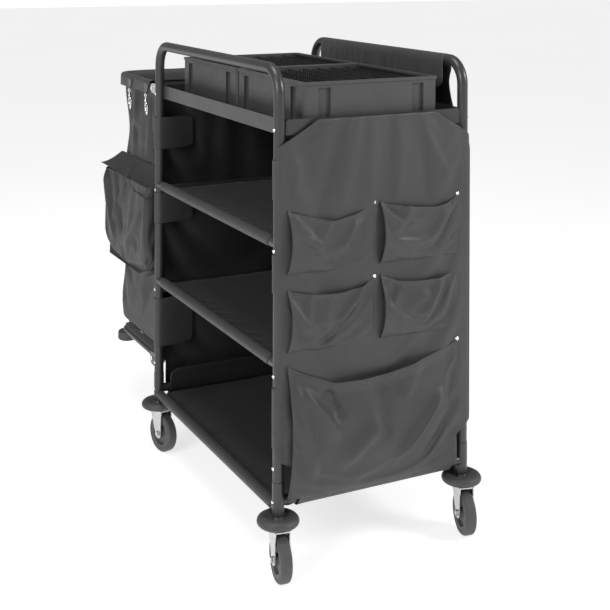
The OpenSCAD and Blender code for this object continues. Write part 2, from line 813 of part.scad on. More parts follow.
// Deck: a sheet that lies on the platform's tubes, with one strap slot near each side
module platform_deck() {
    t = 3;
    corner_r = platform_bend_r + 2;
    half_y = platform_half_y + 2;
    reach = platform_reach + 2;
    x_in = pivot_x + 30;
    slot = [34, 8];
    slot_at = [-732, 214];
    color([0.12, 0.12, 0.12]) translate([0, 0, platform_z + platform_tube_r + 0.2])
        difference() {
            linear_extrude(t) difference() {
                union() {
                    translate([corner_r - reach, -half_y]) square([reach - corner_r - x_in, 2 * half_y]);
                    translate([-reach, corner_r - half_y]) square([corner_r, 2 * (half_y - corner_r)]);
                    for (s = [1, -1])
                        translate([corner_r - reach, s * (half_y - corner_r)]) circle(corner_r);
                }
                for (s = [1, -1]) translate([slot_at[0], s * slot_at[1]]) square(slot, center = true);
            }
            for (s = [1, -1]) translate([0, 0, -platform_z]) at_roller(s)
                cylinder(r = roller_pin_r + 4, h = 4 * platform_tube_r, center = true);
        }
}

// Places a child at the middle of one of the platform's corner bends
module at_roller(side) {
    inset = platform_bend_r * (1 - sin(45));
    translate([-platform_reach + inset, side * (platform_half_y - inset), platform_z]) children();
}

module roller(side) {
    bore_r = roller_pin_r + 0.08;
    edge_r = 7;
    low = roller_top - roller_h;
    flat_r = roller_d / 2 - edge_r;
    color([0.3, 0.3, 0.31]) at_roller(side) rotate_extrude() polygon(concat(
        [[bore_r, low], [flat_r, low]],
        [for (a = [15:15:90]) [flat_r + edge_r * sin(a), low + edge_r - edge_r * cos(a)]],
        [for (a = [90:15:180]) [flat_r + edge_r * sin(a), roller_top - edge_r - edge_r * cos(a)]],
        [[bore_r, roller_top]]
    ));
}

module roller_pins() {
    head_r = 9;
    head_t = 4;
    gap = 0.1;
    cap_r = 7;
    low = roller_top - roller_h - gap;
    color([0.7, 0.7, 0.72]) for (s = [1, -1]) at_roller(s) {
        translate([0, 0, low]) cylinder(r = roller_pin_r, h = platform_tube_r - low);
        translate([0, 0, low - head_t]) cylinder(r = head_r, h = head_t);
        translate([0, 0, platform_tube_r]) cylinder(r = cap_r, h = 3);
    }
}

// ---------------------------------------------------------------- linen bag

module linen_bag() {
    color([0.24, 0.24, 0.25]) difference() {
        block(-bag_out_x, -bag_in_x, -bag_half_y, bag_half_y, bag_floor_z, bag_top_z);
        block(-bag_out_x + bag_wall, -bag_in_x - bag_wall, -bag_half_y + bag_wall,
              bag_half_y - bag_wall, bag_floor_z + bag_wall, bag_top_z + eps);
    }
}

module bag_pouch() {
    y0 = bag_half_y + 0.5;
    color([0.25, 0.25, 0.26]) difference() {
        block(-bag_out_x, -bag_in_x, -pouch_front_y, -y0, pouch_zs[0], pouch_zs[1]);
        block(-bag_out_x + bag_wall, -bag_in_x - bag_wall, -pouch_front_y + bag_wall,
              -y0 - bag_wall, pouch_zs[0] + bag_wall, pouch_zs[1] + eps);
    }
}

// Weather flap over the pouch, hinged along its sewn upper edge
module pouch_flap() {
    over = 8;                               // the flap is longer than the pouch
    y0 = -bag_half_y - 1;
    y1 = -pouch_front_y - 4;
    color([0.25, 0.25, 0.26]) translate([-bag_out_x - over, 0, 0]) rotate([90, 0, 90])
        linear_extrude(bag_out_x + over - bag_in_x)
            polygon([
                [y0, flap_root_z], [y1, flap_root_z - flap_drop],
                [y1, flap_root_z - flap_drop - flap_t], [y0, flap_root_z - flap_t]
            ]);
}

front_handle_frame();
rear_handle_frame();
leg_tubes();
end_rails();
upper_shelf_bars();
middle_shelf_bars();
bottom_shelf_bars();
upper_shelf_cover();
middle_shelf_cover();
bottom_shelf_cover();
top_tray();
tray_spacers();
frame_fasteners();
organizer_panel();
pocket_upper_front();
pocket_upper_rear();
pocket_lower_front();
pocket_lower_rear();
large_pocket();
pocket_snaps();
bag_end_panel();
back_panel();
post_bumpers();
caster_stems();
swivel_races();
fork(0);  // fork_front_organizer
fork(1);  // fork_rear_organizer
fork(2);  // fork_front_bag
fork(3);  // fork_rear_bag
axle(0);  // axle_front_organizer
axle(1);  // axle_rear_organizer
axle(2);  // axle_front_bag
axle(3);  // axle_rear_bag
hub(0);  // hub_front_organizer
hub(1);  // hub_rear_organizer
hub(2);  // hub_front_bag
hub(3);  // hub_rear_bag
tyre(0);  // tyre_front_organizer
tyre(1);  // tyre_rear_organizer
tyre(2);  // tyre_front_bag
tyre(3);  // tyre_rear_bag
rim_frame();
rim_hem();
rim_brackets();
pivot_rivets();
snap_hooks_inner();
snap_hooks_outer();
platform_frame();
platform_deck();
platform_brackets();
roller(-1);  // roller_front
roller(1);  // roller_rear
roller_pins();
linen_bag();
bag_pouch();
pouch_flap();
bin_organizer_end();
bin_bag_end();
insert_organizer_end();
insert_bag_end();
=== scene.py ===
# Looks of the housekeeping cart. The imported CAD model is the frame; this script adds the sewn
# fabric, the toothed bin inserts and every material, then the floor, the light and the camera.
# All lengths are in metres. +X is the organizer end, -X the bag end, -Y the open side.
import json
import math

import bpy
import numpy as np
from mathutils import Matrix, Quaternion, Vector, noise


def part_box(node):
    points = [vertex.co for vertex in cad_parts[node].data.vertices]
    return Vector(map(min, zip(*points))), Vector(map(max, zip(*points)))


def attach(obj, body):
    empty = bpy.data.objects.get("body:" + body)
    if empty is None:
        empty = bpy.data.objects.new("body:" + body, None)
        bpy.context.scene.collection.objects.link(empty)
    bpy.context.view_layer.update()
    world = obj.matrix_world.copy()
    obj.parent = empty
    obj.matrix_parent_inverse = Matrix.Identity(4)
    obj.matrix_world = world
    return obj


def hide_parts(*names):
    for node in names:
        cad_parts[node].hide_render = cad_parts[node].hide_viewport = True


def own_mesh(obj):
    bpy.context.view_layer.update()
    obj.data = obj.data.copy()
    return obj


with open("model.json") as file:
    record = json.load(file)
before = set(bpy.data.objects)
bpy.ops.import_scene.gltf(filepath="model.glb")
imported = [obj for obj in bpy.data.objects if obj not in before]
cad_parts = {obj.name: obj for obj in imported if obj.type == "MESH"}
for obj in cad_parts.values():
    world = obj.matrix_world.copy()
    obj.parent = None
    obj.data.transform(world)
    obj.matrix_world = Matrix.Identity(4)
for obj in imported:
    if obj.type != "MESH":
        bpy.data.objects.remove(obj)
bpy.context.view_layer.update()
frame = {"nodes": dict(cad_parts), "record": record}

# ------------------------------------------------------------------ measures taken from the frame

handle_low, handle_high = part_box("front_handle_frame")
TUBE_R = (handle_high[1] - handle_low[1]) / 2
POST_X = handle_high[0] - TUBE_R
POST_Y = -(handle_low[1] + handle_high[1]) / 2
HANDLE_Z = handle_high[2] - TUBE_R
RAISE = HANDLE_Z - 1.226                         # heights in this file are for handle bars at 1.226

panel_low, panel_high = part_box("organizer_panel")
PANEL_T = 0.002                                  # thickness of the CAD panels
PANEL_X = panel_high[0] - PANEL_T / 2            # mid surface of the end panels
PANEL_OUT = PANEL_X - POST_X                     # how far it stands outside the post centres
PANEL_TOP = panel_high[2]
SHOULDER_Z = 1.040 + RAISE                               # where the panels' slanting shoulders meet the posts
SIDE_LOW_Z = 0.281 + RAISE                               # where the panels leave the posts
shelf_low, shelf_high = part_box("upper_shelf_bars")
BAR_R = (shelf_high[2] - shelf_low[2]) / 2
RAIL_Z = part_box("end_rails")[0][2] + BAR_R       # centre of the bottom end rails
FABRIC_T = 0.0012
SLEEVE_R = TUBE_R + 0.0016
TAB_SPANS = ((0.307, 0.454), (0.684, 0.776), (0.910, 1.007))
BACK_TAB_SPANS = ((0.535, 0.650), (0.816, 0.895))

# ------------------------------------------------------------------ node helpers


class Nodes:
    """Short calls for building one material's node tree."""

    def __init__(self, name):
        self.material = bpy.data.materials.new(name)
        self.material.use_nodes = True
        self.tree = self.material.node_tree
        self.tree.nodes.clear()
        self.out = self.add("ShaderNodeOutputMaterial")
        self.bsdf = self.add("ShaderNodeBsdfPrincipled")
        self.link(self.bsdf, 0, self.out, 0)
        self.coords = self.add("ShaderNodeTexCoord")

    def add(self, kind, **settings):
        node = self.tree.nodes.new(kind)
        for key, value in settings.items():
            setattr(node, key, value)
        return node

    def link(self, a, a_socket, b, b_socket):
        self.tree.links.new(a.outputs[a_socket], b.inputs[b_socket])

    def noise(self, scale, detail=3.0, roughness=0.55, stretch=None):
        node = self.add("ShaderNodeTexNoise")
        node.inputs["Scale"].default_value = scale
        node.inputs["Detail"].default_value = detail
        node.inputs["Roughness"].default_value = roughness
        if stretch:
            mapping = self.add("ShaderNodeMapping")
            mapping.inputs["Scale"].default_value = stretch
            self.link(self.coords, "Object", mapping, "Vector")
            self.link(mapping, 0, node, "Vector")
        else:
            self.link(self.coords, "Object", node, "Vector")
        return node

    def ramp(self, source, socket, low, high, start=0.3, end=0.7):
        """Maps a texture's factor from one colour to another."""
        node = self.add("ShaderNodeValToRGB")
        first, last = node.color_ramp.elements
        first.position, last.position = start, end
        first.color = (*low, 1)
        last.color = (*high, 1)
        self.link(source, socket, node, 0)
        return node

    def span(self, source, socket, low, high, start=0.3, end=0.7):
        """Maps a texture's factor to a range of numbers."""
        node = self.add("ShaderNodeMapRange")
        node.inputs["From Min"].default_value = start
        node.inputs["From Max"].default_value = end
        node.inputs["To Min"].default_value = low
        node.inputs["To Max"].default_value = high
        self.link(source, socket, node, 0)
        return node

    def bump(self, height, socket, strength, distance, below=None):
        node = self.add("ShaderNodeBump")
        node.inputs["Strength"].default_value = strength
        node.inputs["Distance"].default_value = distance
        self.link(height, socket, node, "Height")
        if below:
            self.link(below, 0, node, "Normal")
        return node

    def edge(self, radius):
        """Rounds sharp edges in the shading by this radius."""
        node = self.add("ShaderNodeBevel", samples=4)
        node.inputs["Radius"].default_value = radius
        return node


def grey(value, tint=0.0):
    """A near-neutral colour, slightly cool for a positive tint."""
    return (value * (1 - tint), value, value * (1 + tint))


# ------------------------------------------------------------------ materials


def tube_paint():
    """Semi-gloss anthracite powder coat with a fine orange peel."""
    n = Nodes("tube_paint")
    tone = n.noise(9, 4)
    n.link(n.ramp(tone, 0, grey(0.026, 0.02), grey(0.034, 0.02)), 0, n.bsdf, "Base Color")
    n.link(n.span(n.noise(60, 3), 0, 0.32, 0.42), 0, n.bsdf, "Roughness")
    rounded = n.edge(0.0012)
    peel = n.bump(n.noise(1400, 2), 0, 0.10, 0.0003, rounded)
    n.link(peel, 0, n.bsdf, "Normal")
    n.bsdf.inputs["Coat Weight"].default_value = 0.15
    n.bsdf.inputs["Coat Roughness"].default_value = 0.28
    return n.material


def fabric(name, dark, light, sheen=0.08):
    """Coated woven polyester: a fine plain weave, soft tone changes and a slight sheen."""
    n = Nodes(name)
    tone = n.noise(5, 5)
    n.link(n.ramp(tone, 0, grey(dark, 0.015), grey(light, 0.015)), 0, n.bsdf, "Base Color")
    n.link(n.span(n.noise(30, 4), 0, 0.50, 0.62), 0, n.bsdf, "Roughness")
    n.bsdf.inputs["Sheen Weight"].default_value = sheen
    n.bsdf.inputs["Sheen Roughness"].default_value = 0.4
    thread = 2 * math.pi / 0.0011
    weave = None
    for axis in range(3):
        wave = n.add("ShaderNodeTexWave", wave_type="BANDS", bands_direction="XYZ"[axis])
        wave.inputs["Scale"].default_value = thread / (2 * math.pi) / 3.18
        wave.inputs["Distortion"].default_value = 0.4
        n.link(n.coords, "Object", wave, "Vector")
        if weave is None:
            weave = wave
            continue
        mix = n.add("ShaderNodeMath", operation="ADD")
        n.link(weave, 0, mix, 0)
        n.link(wave, 0, mix, 1)
        weave = mix
    threads = n.bump(weave, 0, 0.12, 0.0002)
    crumple = n.bump(n.noise(24, 4, 0.55), 0, 0.30, 0.0030, threads)
    n.link(crumple, 0, n.bsdf, "Normal")
    return n.material


def thread_material():
    n = Nodes("sewing_thread")
    n.link(n.ramp(n.noise(300, 2), 0, grey(0.030), grey(0.050)), 0, n.bsdf, "Base Color")
    n.bsdf.inputs["Roughness"].default_value = 0.6
    n.bsdf.inputs["Sheen Weight"].default_value = 0.3
    return n.material


def webbing():
    """Coarse net and strap webbing, near black."""
    n = Nodes("webbing")
    n.link(n.ramp(n.noise(90, 3), 0, grey(0.012), grey(0.028)), 0, n.bsdf, "Base Color")
    n.bsdf.inputs["Roughness"].default_value = 0.75
    n.bsdf.inputs["Sheen Weight"].default_value = 0.35
    ribs = n.add("ShaderNodeTexWave", wave_type="BANDS", bands_direction="DIAGONAL")
    ribs.inputs["Scale"].default_value = 190
    n.link(n.coords, "Object", ribs, "Vector")
    n.link(n.bump(ribs, 0, 0.5, 0.0005), 0, n.bsdf, "Normal")
    return n.material


def zinc():
    """Bright zinc plate with a faint spangle and handling marks."""
    n = Nodes("zinc")
    spangle = n.add("ShaderNodeTexVoronoi")
    spangle.inputs["Scale"].default_value = 260
    n.link(n.coords, "Object", spangle, "Vector")
    n.link(n.ramp(spangle, "Color", grey(0.50, 0.01), grey(0.66, 0.01), 0.2, 0.8), 0, n.bsdf, "Base Color")
    n.bsdf.inputs["Metallic"].default_value = 1.0
    n.link(n.span(n.noise(45, 4), 0, 0.24, 0.42), 0, n.bsdf, "Roughness")
    n.link(n.bump(n.noise(420, 3), 0, 0.12, 0.0002, n.edge(0.0008)), 0, n.bsdf, "Normal")
    return n.material


def chrome():
    n = Nodes("chrome")
    n.link(n.ramp(n.noise(40, 3), 0, grey(0.74), grey(0.86)), 0, n.bsdf, "Base Color")
    n.bsdf.inputs["Metallic"].default_value = 1.0
    n.link(n.span(n.noise(160, 4), 0, 0.08, 0.20), 0, n.bsdf, "Roughness")
    n.link(n.edge(0.0006), 0, n.bsdf, "Normal")
    return n.material


def moulded(name, dark, light, rough, grain, edge_r=0.0012):
    """Moulded plastic or rubber with a fine grain and soft random changes of tone and gloss."""
    n = Nodes(name)
    n.link(n.ramp(n.noise(14, 5), 0, grey(dark, 0.01), grey(light, 0.01)), 0, n.bsdf, "Base Color")
    n.link(n.span(n.noise(70, 4), 0, rough - 0.07, rough + 0.07), 0, n.bsdf, "Roughness")
    n.link(n.bump(n.noise(grain, 3), 0, 0.18, 0.0003, n.edge(edge_r)), 0, n.bsdf, "Normal")
    return n.material


PAINT = tube_paint()
FABRIC = fabric("fabric", 0.035, 0.044)
FABRIC_BAG = fabric("fabric_bag", 0.022, 0.029, 0.05)
# A darker copy of the same fabric: painted shade for the shaded inside of the cart, used on the bag end panel and the
# bag's base.
FABRIC_PAINTED_SHADE = fabric("fabric_painted_shade", 0.015, 0.021, 0.04)
THREAD = thread_material()
NET = webbing()
ZINC = zinc()
CHROME = chrome()
BUMPER = moulded("bumper_rubber", 0.050, 0.064, 0.55, 900)
TYRE = moulded("tyre_rubber", 0.058, 0.074, 0.60, 700)
HUB = moulded("hub_plastic", 0.060, 0.080, 0.48, 800)
BIN = moulded("bin_plastic", 0.050, 0.061, 0.42, 1100)
INSERT = moulded("insert_plastic", 0.010, 0.018, 0.50, 1000, 0.0005)

SLOT_MATERIALS = {
    "tube_paint": PAINT, "fabric": FABRIC, "net": NET, "zinc": ZINC, "chrome": CHROME,
    "bumper_rubber": BUMPER, "hub_plastic": HUB, "tyre_rubber": TYRE, "bin_plastic": BIN,
    "insert_plastic": INSERT,
}


def paint_cad_nodes():
    """Gives every CAD node the material of its slot in the record."""
    slots = {part["node"]: part["material_slot"] for part in frame["record"]["subparts"]}
    for name, obj in frame["nodes"].items():
        material = SLOT_MATERIALS[slots[name]]
        if not obj.material_slots:
            obj.data.materials.append(material)
        for slot in obj.material_slots:
            slot.material = material


paint_cad_nodes()

# ------------------------------------------------------------------ mesh helpers


def smooth_step(t):
    t = min(max(t, 0.0), 1.0)
    return t * t * (3 - 2 * t)


def mesh_piece(name, verts, faces, material, body, smooth=True):
    mesh = bpy.data.meshes.new(name)
    mesh.from_pydata([tuple(v) for v in verts], [], faces)
    mesh.update()
    mesh.materials.append(material)
    if smooth:
        mesh.polygons.foreach_set("use_smooth", [True] * len(mesh.polygons))
    obj = bpy.data.objects.new(name, mesh)
    bpy.context.scene.collection.objects.link(obj)
    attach(obj, body)
    return obj


def grid_faces(rows, cols, closed=False):
    """Quads of a rows x cols grid of vertices; closed joins the last column to the first."""
    faces = []
    last = cols if closed else cols - 1
    for i in range(rows - 1):
        for j in range(last):
            k = (j + 1) % cols
            faces.append((i * cols + j, i * cols + k, (i + 1) * cols + k, (i + 1) * cols + j))
    return faces


def bake(obj):
    """Replaces the object's mesh by its mesh with all modifiers applied."""
    graph = bpy.context.evaluated_depsgraph_get()
    mesh = bpy.data.meshes.new_from_object(obj.evaluated_get(graph))
    obj.modifiers.clear()
    obj.data = mesh
    mesh.polygons.foreach_set("use_smooth", [True] * len(mesh.polygons))


def thicken(obj, thickness=FABRIC_T, levels=1, offset=0.0):
    """Turns a sheet into cloth: one subdivision, then a real thickness."""
    if levels:
        subdivide = obj.modifiers.new("round", "SUBSURF")
        subdivide.levels = subdivide.render_levels = levels
    solid = obj.modifiers.new("thickness", "SOLIDIFY")
    solid.thickness = thickness
    solid.offset = offset
    bake(obj)


class Sheet:
    """A grid of cloth points, rows x cols, that may drape before it is thickened."""

    def __init__(self, name, points, body, replaces=(), closed=False, material=None, levels=1):
        self.points = np.array(points, float)
        self.rows, self.cols = self.points.shape[:2]
        self.levels = levels
        self.closed = closed
        self.facing = 1
        faces = grid_faces(self.rows, self.cols, closed)
        self.obj = mesh_piece(name, self.points.reshape(-1, 3), faces, material or FABRIC, body)
        if replaces:
            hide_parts(*replaces)

    def normals(self):
        along = np.gradient(self.points, axis=0)
        across = np.gradient(self.points, axis=1)
        normal = np.cross(across, along)
        return normal / (np.linalg.norm(normal, axis=2, keepdims=True) + 1e-12)

    def drape(self, pins, slack, cap, keep=None, gravity=1.0, pressure=0.0, stiff=18.0):
        """Queues a cloth simulation. pins is a rows x cols array, 1 where the cloth is held."""
        group = self.obj.vertex_groups.new(name="held")
        flat = pins.reshape(-1)
        for index, weight in enumerate(flat):
            group.add([index], float(weight), "REPLACE")
        cloth = self.obj.modifiers.new("drape", "CLOTH")
        settings = cloth.settings
        settings.quality = 5
        settings.mass = 0.15
        settings.tension_stiffness = stiff
        settings.compression_stiffness = stiff
        settings.shear_stiffness = stiff / 3
        settings.bending_stiffness = 4.0
        settings.tension_damping = settings.compression_damping = settings.shear_damping = 8
        settings.air_damping = 2.0
        settings.vertex_group_mass = "held"
        settings.shrink_min = -slack
        settings.effector_weights.gravity = gravity
        if pressure:
            settings.use_pressure = True
            settings.uniform_pressure_force = pressure
        cloth.collision_settings.use_collision = False
        cloth.point_cache.frame_start = 1
        cloth.point_cache.frame_end = DRAPE_FRAMES
        WAITING.append((self, cap, keep))

    def settle(self, cap, keep):
        """Takes the draped shape, with no point further than cap from where it started."""
        graph = bpy.context.evaluated_depsgraph_get()
        mesh = self.obj.evaluated_get(graph).to_mesh()
        draped = np.empty(len(mesh.vertices) * 3)
        mesh.vertices.foreach_get("co", draped)
        draped = draped.reshape(self.points.shape)
        move = draped - self.points
        length = np.linalg.norm(move, axis=2, keepdims=True)
        move *= np.minimum(1.0, cap / np.maximum(length, 1e-9))
        self.points = self.points + move
        if keep:
            self.points = keep(self.points)
        self.obj.modifiers.clear()
        self.obj.vertex_groups.clear()
        self.obj.data.vertices.foreach_set("co", self.points.reshape(-1))
        self.obj.data.update()

    def hem(self, edges, wide=2, height=0.0009):
        """Doubles the cloth along the named edges: low, high (rows) and left, right (columns)."""
        raised = np.zeros(self.points.shape[:2])
        for edge, strip in (("low", np.s_[:wide]), ("high", np.s_[-wide:]),
                            ("left", np.s_[:, :wide]), ("right", np.s_[:, -wide:])):
            if edge in edges:
                raised[strip] = height
        self.points = self.points + self.normals() * raised[..., None] * self.facing
        self.obj.data.vertices.foreach_set("co", self.points.reshape(-1))
        self.obj.data.update()

    def finish(self, thickness=FABRIC_T, offset=0.0):
        thicken(self.obj, thickness, self.levels, offset)


DRAPE_FRAMES = 24
WAITING = []


def run_drapes():
    """Steps every queued cloth together, then applies the results."""
    if not WAITING:
        return
    scene = bpy.context.scene
    for number in range(1, DRAPE_FRAMES + 1):
        scene.frame_set(number)
    for sheet, cap, keep in WAITING:
        sheet.settle(cap, keep)
    WAITING.clear()
    scene.frame_set(1)


def wobble(points, amount, scale, seed):
    """Moves cloth points by smooth noise so that no fold is perfectly regular."""
    for p in points.reshape(-1, 3):
        place = Vector(p) * scale + Vector((seed, seed * 0.37, -seed))
        p += np.array(noise.noise_vector(place)) * amount
    return points


def folds(across, up, lines):
    """Height of soft folds at points of a sheet. Each line is (from, to, width, height), in metres; a
    fold is steeper on one side of its line, and fades at both ends."""
    total = np.zeros(np.shape(across))
    up = up - RAISE
    for (a0, u0), (a1, u1), width, height in lines:
        length = math.hypot(a1 - a0, u1 - u0)
        share = ((across - a0) * (a1 - a0) + (up - u0) * (u1 - u0)) / length ** 2
        off = ((across - a0) * (u1 - u0) - (up - u0) * (a1 - a0)) / length
        side = np.where(off > 0, width, width * 0.45)
        total += height * np.exp(-(off / side) ** 2 - ((share - 0.5) / 0.46) ** 6)
    return total


STITCH_SHAPE = ((-1, 0, 0.2), (-0.6, -1, 0.5), (-0.6, 1, 0.5), (0, 0, 1.6), (0.6, -1, 0.5), (0.6, 1, 0.5), (1, 0, 0.2))
STITCH_FACES = ((0, 1, 3), (0, 3, 2), (1, 4, 3), (4, 6, 3), (6, 5, 3), (5, 2, 3), (0, 2, 5, 6, 4, 1))


class Stitching:
    """Collects rows of stitches and makes them one piece per body."""

    def __init__(self):
        self.rows = {}

    def row(self, body, path, normals, pitch=0.0052, length=0.0034, width=0.0004, lift=0.0007):
        verts, faces = self.rows.setdefault(body, ([], []))
        path = np.asarray(path, float)
        step = np.linalg.norm(np.diff(path, axis=0), axis=1)
        travel = np.concatenate([[0], np.cumsum(step)])
        for start in np.arange(0, travel[-1] - length, pitch):
            here = [np.interp(start, travel, path[:, k]) for k in range(3)]
            there = [np.interp(start + length, travel, path[:, k]) for k in range(3)]
            normal = np.array([np.interp(start, travel, normals[:, k]) for k in range(3)])
            normal /= np.linalg.norm(normal) + 1e-12
            here, there = np.array(here), np.array(there)
            along = (there - here) / 2
            side = np.cross(normal, along)
            side *= width / (np.linalg.norm(side) + 1e-12)
            middle = (here + there) / 2 + normal * lift
            base = len(verts)
            for a, s, n in STITCH_SHAPE:
                verts.append(middle + along * a + side * s + normal * (n - 1) * width)
            faces.extend(tuple(base + k for k in face) for face in STITCH_FACES)

    def build(self):
        for body, (verts, faces) in self.rows.items():
            mesh_piece("stitches_" + body, verts, faces, THREAD, body)


STITCHES = Stitching()


def stitch_sheet(sheet, body, rows=(), cols=(), flip=1):
    """Sews along whole grid rows or columns of a sheet, on the side its normals face times flip."""
    normals = sheet.normals() * flip
    for i in rows:
        STITCHES.row(body, sheet.points[i], normals[i])
    for j in cols:
        STITCHES.row(body, sheet.points[:, j], normals[:, j])


# ------------------------------------------------------------------ end panels and their tabs


def panel_half_width(z, low_half):
    """Half the width of an end panel's cloth at a height, measured along the cloth."""
    full = POST_Y + 0.012
    if z > SHOULDER_Z:
        return 0.172 + (full - 0.172) * ((PANEL_TOP - z) / (PANEL_TOP - SHOULDER_Z)) ** 1.15
    if z < SIDE_LOW_Z:
        return full - (full - low_half) * smooth_step((SIDE_LOW_Z - z) / 0.03)
    return full


def around_post(s):
    """Follows the cloth outward by s: flat up to the post, then bending round it."""
    if abs(s) <= POST_Y:
        return s, PANEL_OUT
    angle = (abs(s) - POST_Y) / PANEL_OUT
    return math.copysign(POST_Y + PANEL_OUT * math.sin(angle), s), PANEL_OUT * math.cos(angle)


ORGANIZER_FOLDS = (
    ((-0.100, 1.100), (-0.180, 0.850), 0.030, -0.0055), ((-0.050, 1.100), (-0.110, 0.880), 0.034, 0.0045),
    ((0.045, 1.100), (0.000, 0.880), 0.030, -0.0055), ((0.090, 1.090), (0.045, 0.860), 0.026, 0.0040),
    ((0.140, 1.060), (0.225, 0.900), 0.022, 0.0060), ((0.130, 1.040), (0.150, 0.880), 0.022, -0.0045),
    ((-0.215, 1.020), (-0.240, 0.900), 0.020, 0.0040), ((0.190, 1.095), (0.250, 1.030), 0.016, 0.0040),
    ((-0.150, 0.515), (-0.060, 0.535), 0.014, 0.0040), ((0.030, 0.470), (0.110, 0.530), 0.020, 0.0040),
    ((-0.250, 0.520), (-0.230, 0.640), 0.010, 0.0040), ((0.252, 0.560), (0.246, 0.760), 0.008, 0.0035),
    ((0.252, 0.300), (0.248, 0.480), 0.008, 0.0040), ((-0.240, 0.180), (-0.262, 0.420), 0.012, 0.0070),
)
BAG_END_FOLDS = (
    ((-0.200, 1.090), (-0.120, 0.860), 0.030, 0.0050), ((0.120, 1.090), (0.180, 0.840), 0.030, 0.0050),
    ((-0.230, 0.700), (-0.060, 0.560), 0.026, 0.0045), ((0.040, 0.430), (0.220, 0.300), 0.030, 0.0050),
)


def end_panel_points(side, low_half, foot_z, rows=96, cols=61):
    """Down the outside, round the bottom rail and up inside it as a short flap."""
    drop = PANEL_TOP - RAIL_Z
    arc = math.pi * PANEL_OUT
    total = drop + arc + foot_z - RAIL_Z
    points = np.empty((rows, cols, 3))
    for i in range(rows):
        t = total * (1 - i / (rows - 1))
        z, turn = PANEL_TOP - t, 0.0
        if t > drop + arc:
            z, turn = RAIL_Z + t - drop - arc, math.pi
        elif t > drop:
            turn = (t - drop) / PANEL_OUT
            z = RAIL_Z - PANEL_OUT * math.sin(turn)
        half = low_half if turn else panel_half_width(z, low_half)
        if turn == math.pi:
            half -= 0.020 - math.sqrt(max(0.0, 0.020 ** 2 - max(0.0, z - foot_z + 0.020) ** 2))
        for j in range(cols):
            y, out = around_post(half * (2 * j / (cols - 1) - 1))
            out = PANEL_OUT * math.cos(turn) if turn else out
            points[i, j] = (side * (POST_X + out), y, z)
    return points


def make_end_panel(name, side, node, low_half, lines):
    points = end_panel_points(side, low_half, RAIL_Z + 0.058)
    outside = (side * points[..., 0] > POST_X + PANEL_OUT * 0.9) & (points[..., 2] > RAIL_Z)
    free = np.clip((1 - np.abs(points[..., 1]) / POST_Y) * 9, 0, 1) * outside
    lift = folds(points[..., 1], points[..., 2], lines)
    for i, j in np.ndindex(lift.shape):
        x, y, z = points[i, j]
        lift[i, j] += 0.0020 * noise.noise(Vector((y * 14 + side, z * 4.0, side * 3.7)))
    points[..., 0] += side * (lift + 0.0035) * free
    # The bag end panel, seen from inside the cart, is made of the darker fabric copy as painted shade.
    sheet = Sheet(name, points, "cart_frame", (node,), material=FABRIC if side > 0 else FABRIC_PAINTED_SHADE)
    sheet.facing = side
    pins = np.where(outside, 0.0, 1.0)
    pins[np.abs(points[..., 1]) > POST_Y - 0.016] = 1
    pins[-1] = 1

    def keep(p):
        out = side * p[..., 0]
        out = np.where(outside, np.clip(out, PANEL_X - 0.0005, PANEL_X + 0.011), out)
        p[..., 0] = side * out
        return p

    sheet.drape(pins, 0.006, 0.006, keep)
    return sheet


def corner_sleeve(name, sx, sy, span, body="cart_frame", swap=False, tab=0.114, lean=0.024, replaces=()):
    """Cloth wrapped round a post between two heights, ending in a flat tab on the inner side.
    swap wraps it from the long side instead of the end."""
    low, high = span[0] + RAISE, span[1] + RAISE
    rows = 14
    arc = [(SLEEVE_R * math.cos(a), SLEEVE_R * math.sin(a)) for a in np.radians(np.arange(-35, 181, 12))]
    flat = [(-SLEEVE_R + lean * t ** 1.3, -tab * t) for t in np.linspace(0.06, 1, 16)]
    path = arc + flat
    corner = 0.016
    points = np.empty((rows, len(path), 3))
    for j, (out, along) in enumerate(path):
        inward = max(0.0, -along - (tab - corner)) if out < 0 or along < -0.02 else 0.0
        trim = corner - math.sqrt(max(0.0, corner ** 2 - inward ** 2))
        for i in range(rows):
            z = low + trim + (high - low - 2 * trim) * i / (rows - 1)
            a, b = (along, out) if swap else (out, along)
            points[i, j] = (sx * (POST_X + a), sy * (POST_Y + b), z)
    wobble(points, 0.0006, 22, sx * 3 + sy * 7 + low * 11)
    return Sheet(name, points, body, replaces)


def make_tabs():
    sheets = []
    for sx, end in ((1, "organizer"), (-1, "bag")):
        for sy, face in ((-1, "front"), (1, "rear")):
            for k, span in enumerate(TAB_SPANS):
                sheets.append((corner_sleeve(f"tab_{face}_{end}_{k}", sx, sy, span), sx * sy))
    for sx, end in ((1, "organizer"), (-1, "bag")):
        for k, span in enumerate(BACK_TAB_SPANS):
            sheets.append((corner_sleeve(f"back_tab_{end}_{k}", sx, 1, span, swap=True), -sx))
    for sheet, turn in sheets:
        rows, cols = sheet.rows, sheet.cols
        stitch_sheet(sheet, "cart_frame", rows=(1, rows - 2), cols=(cols - 2,), flip=turn)
        sheet.finish(0.0014)


# ------------------------------------------------------------------ pockets


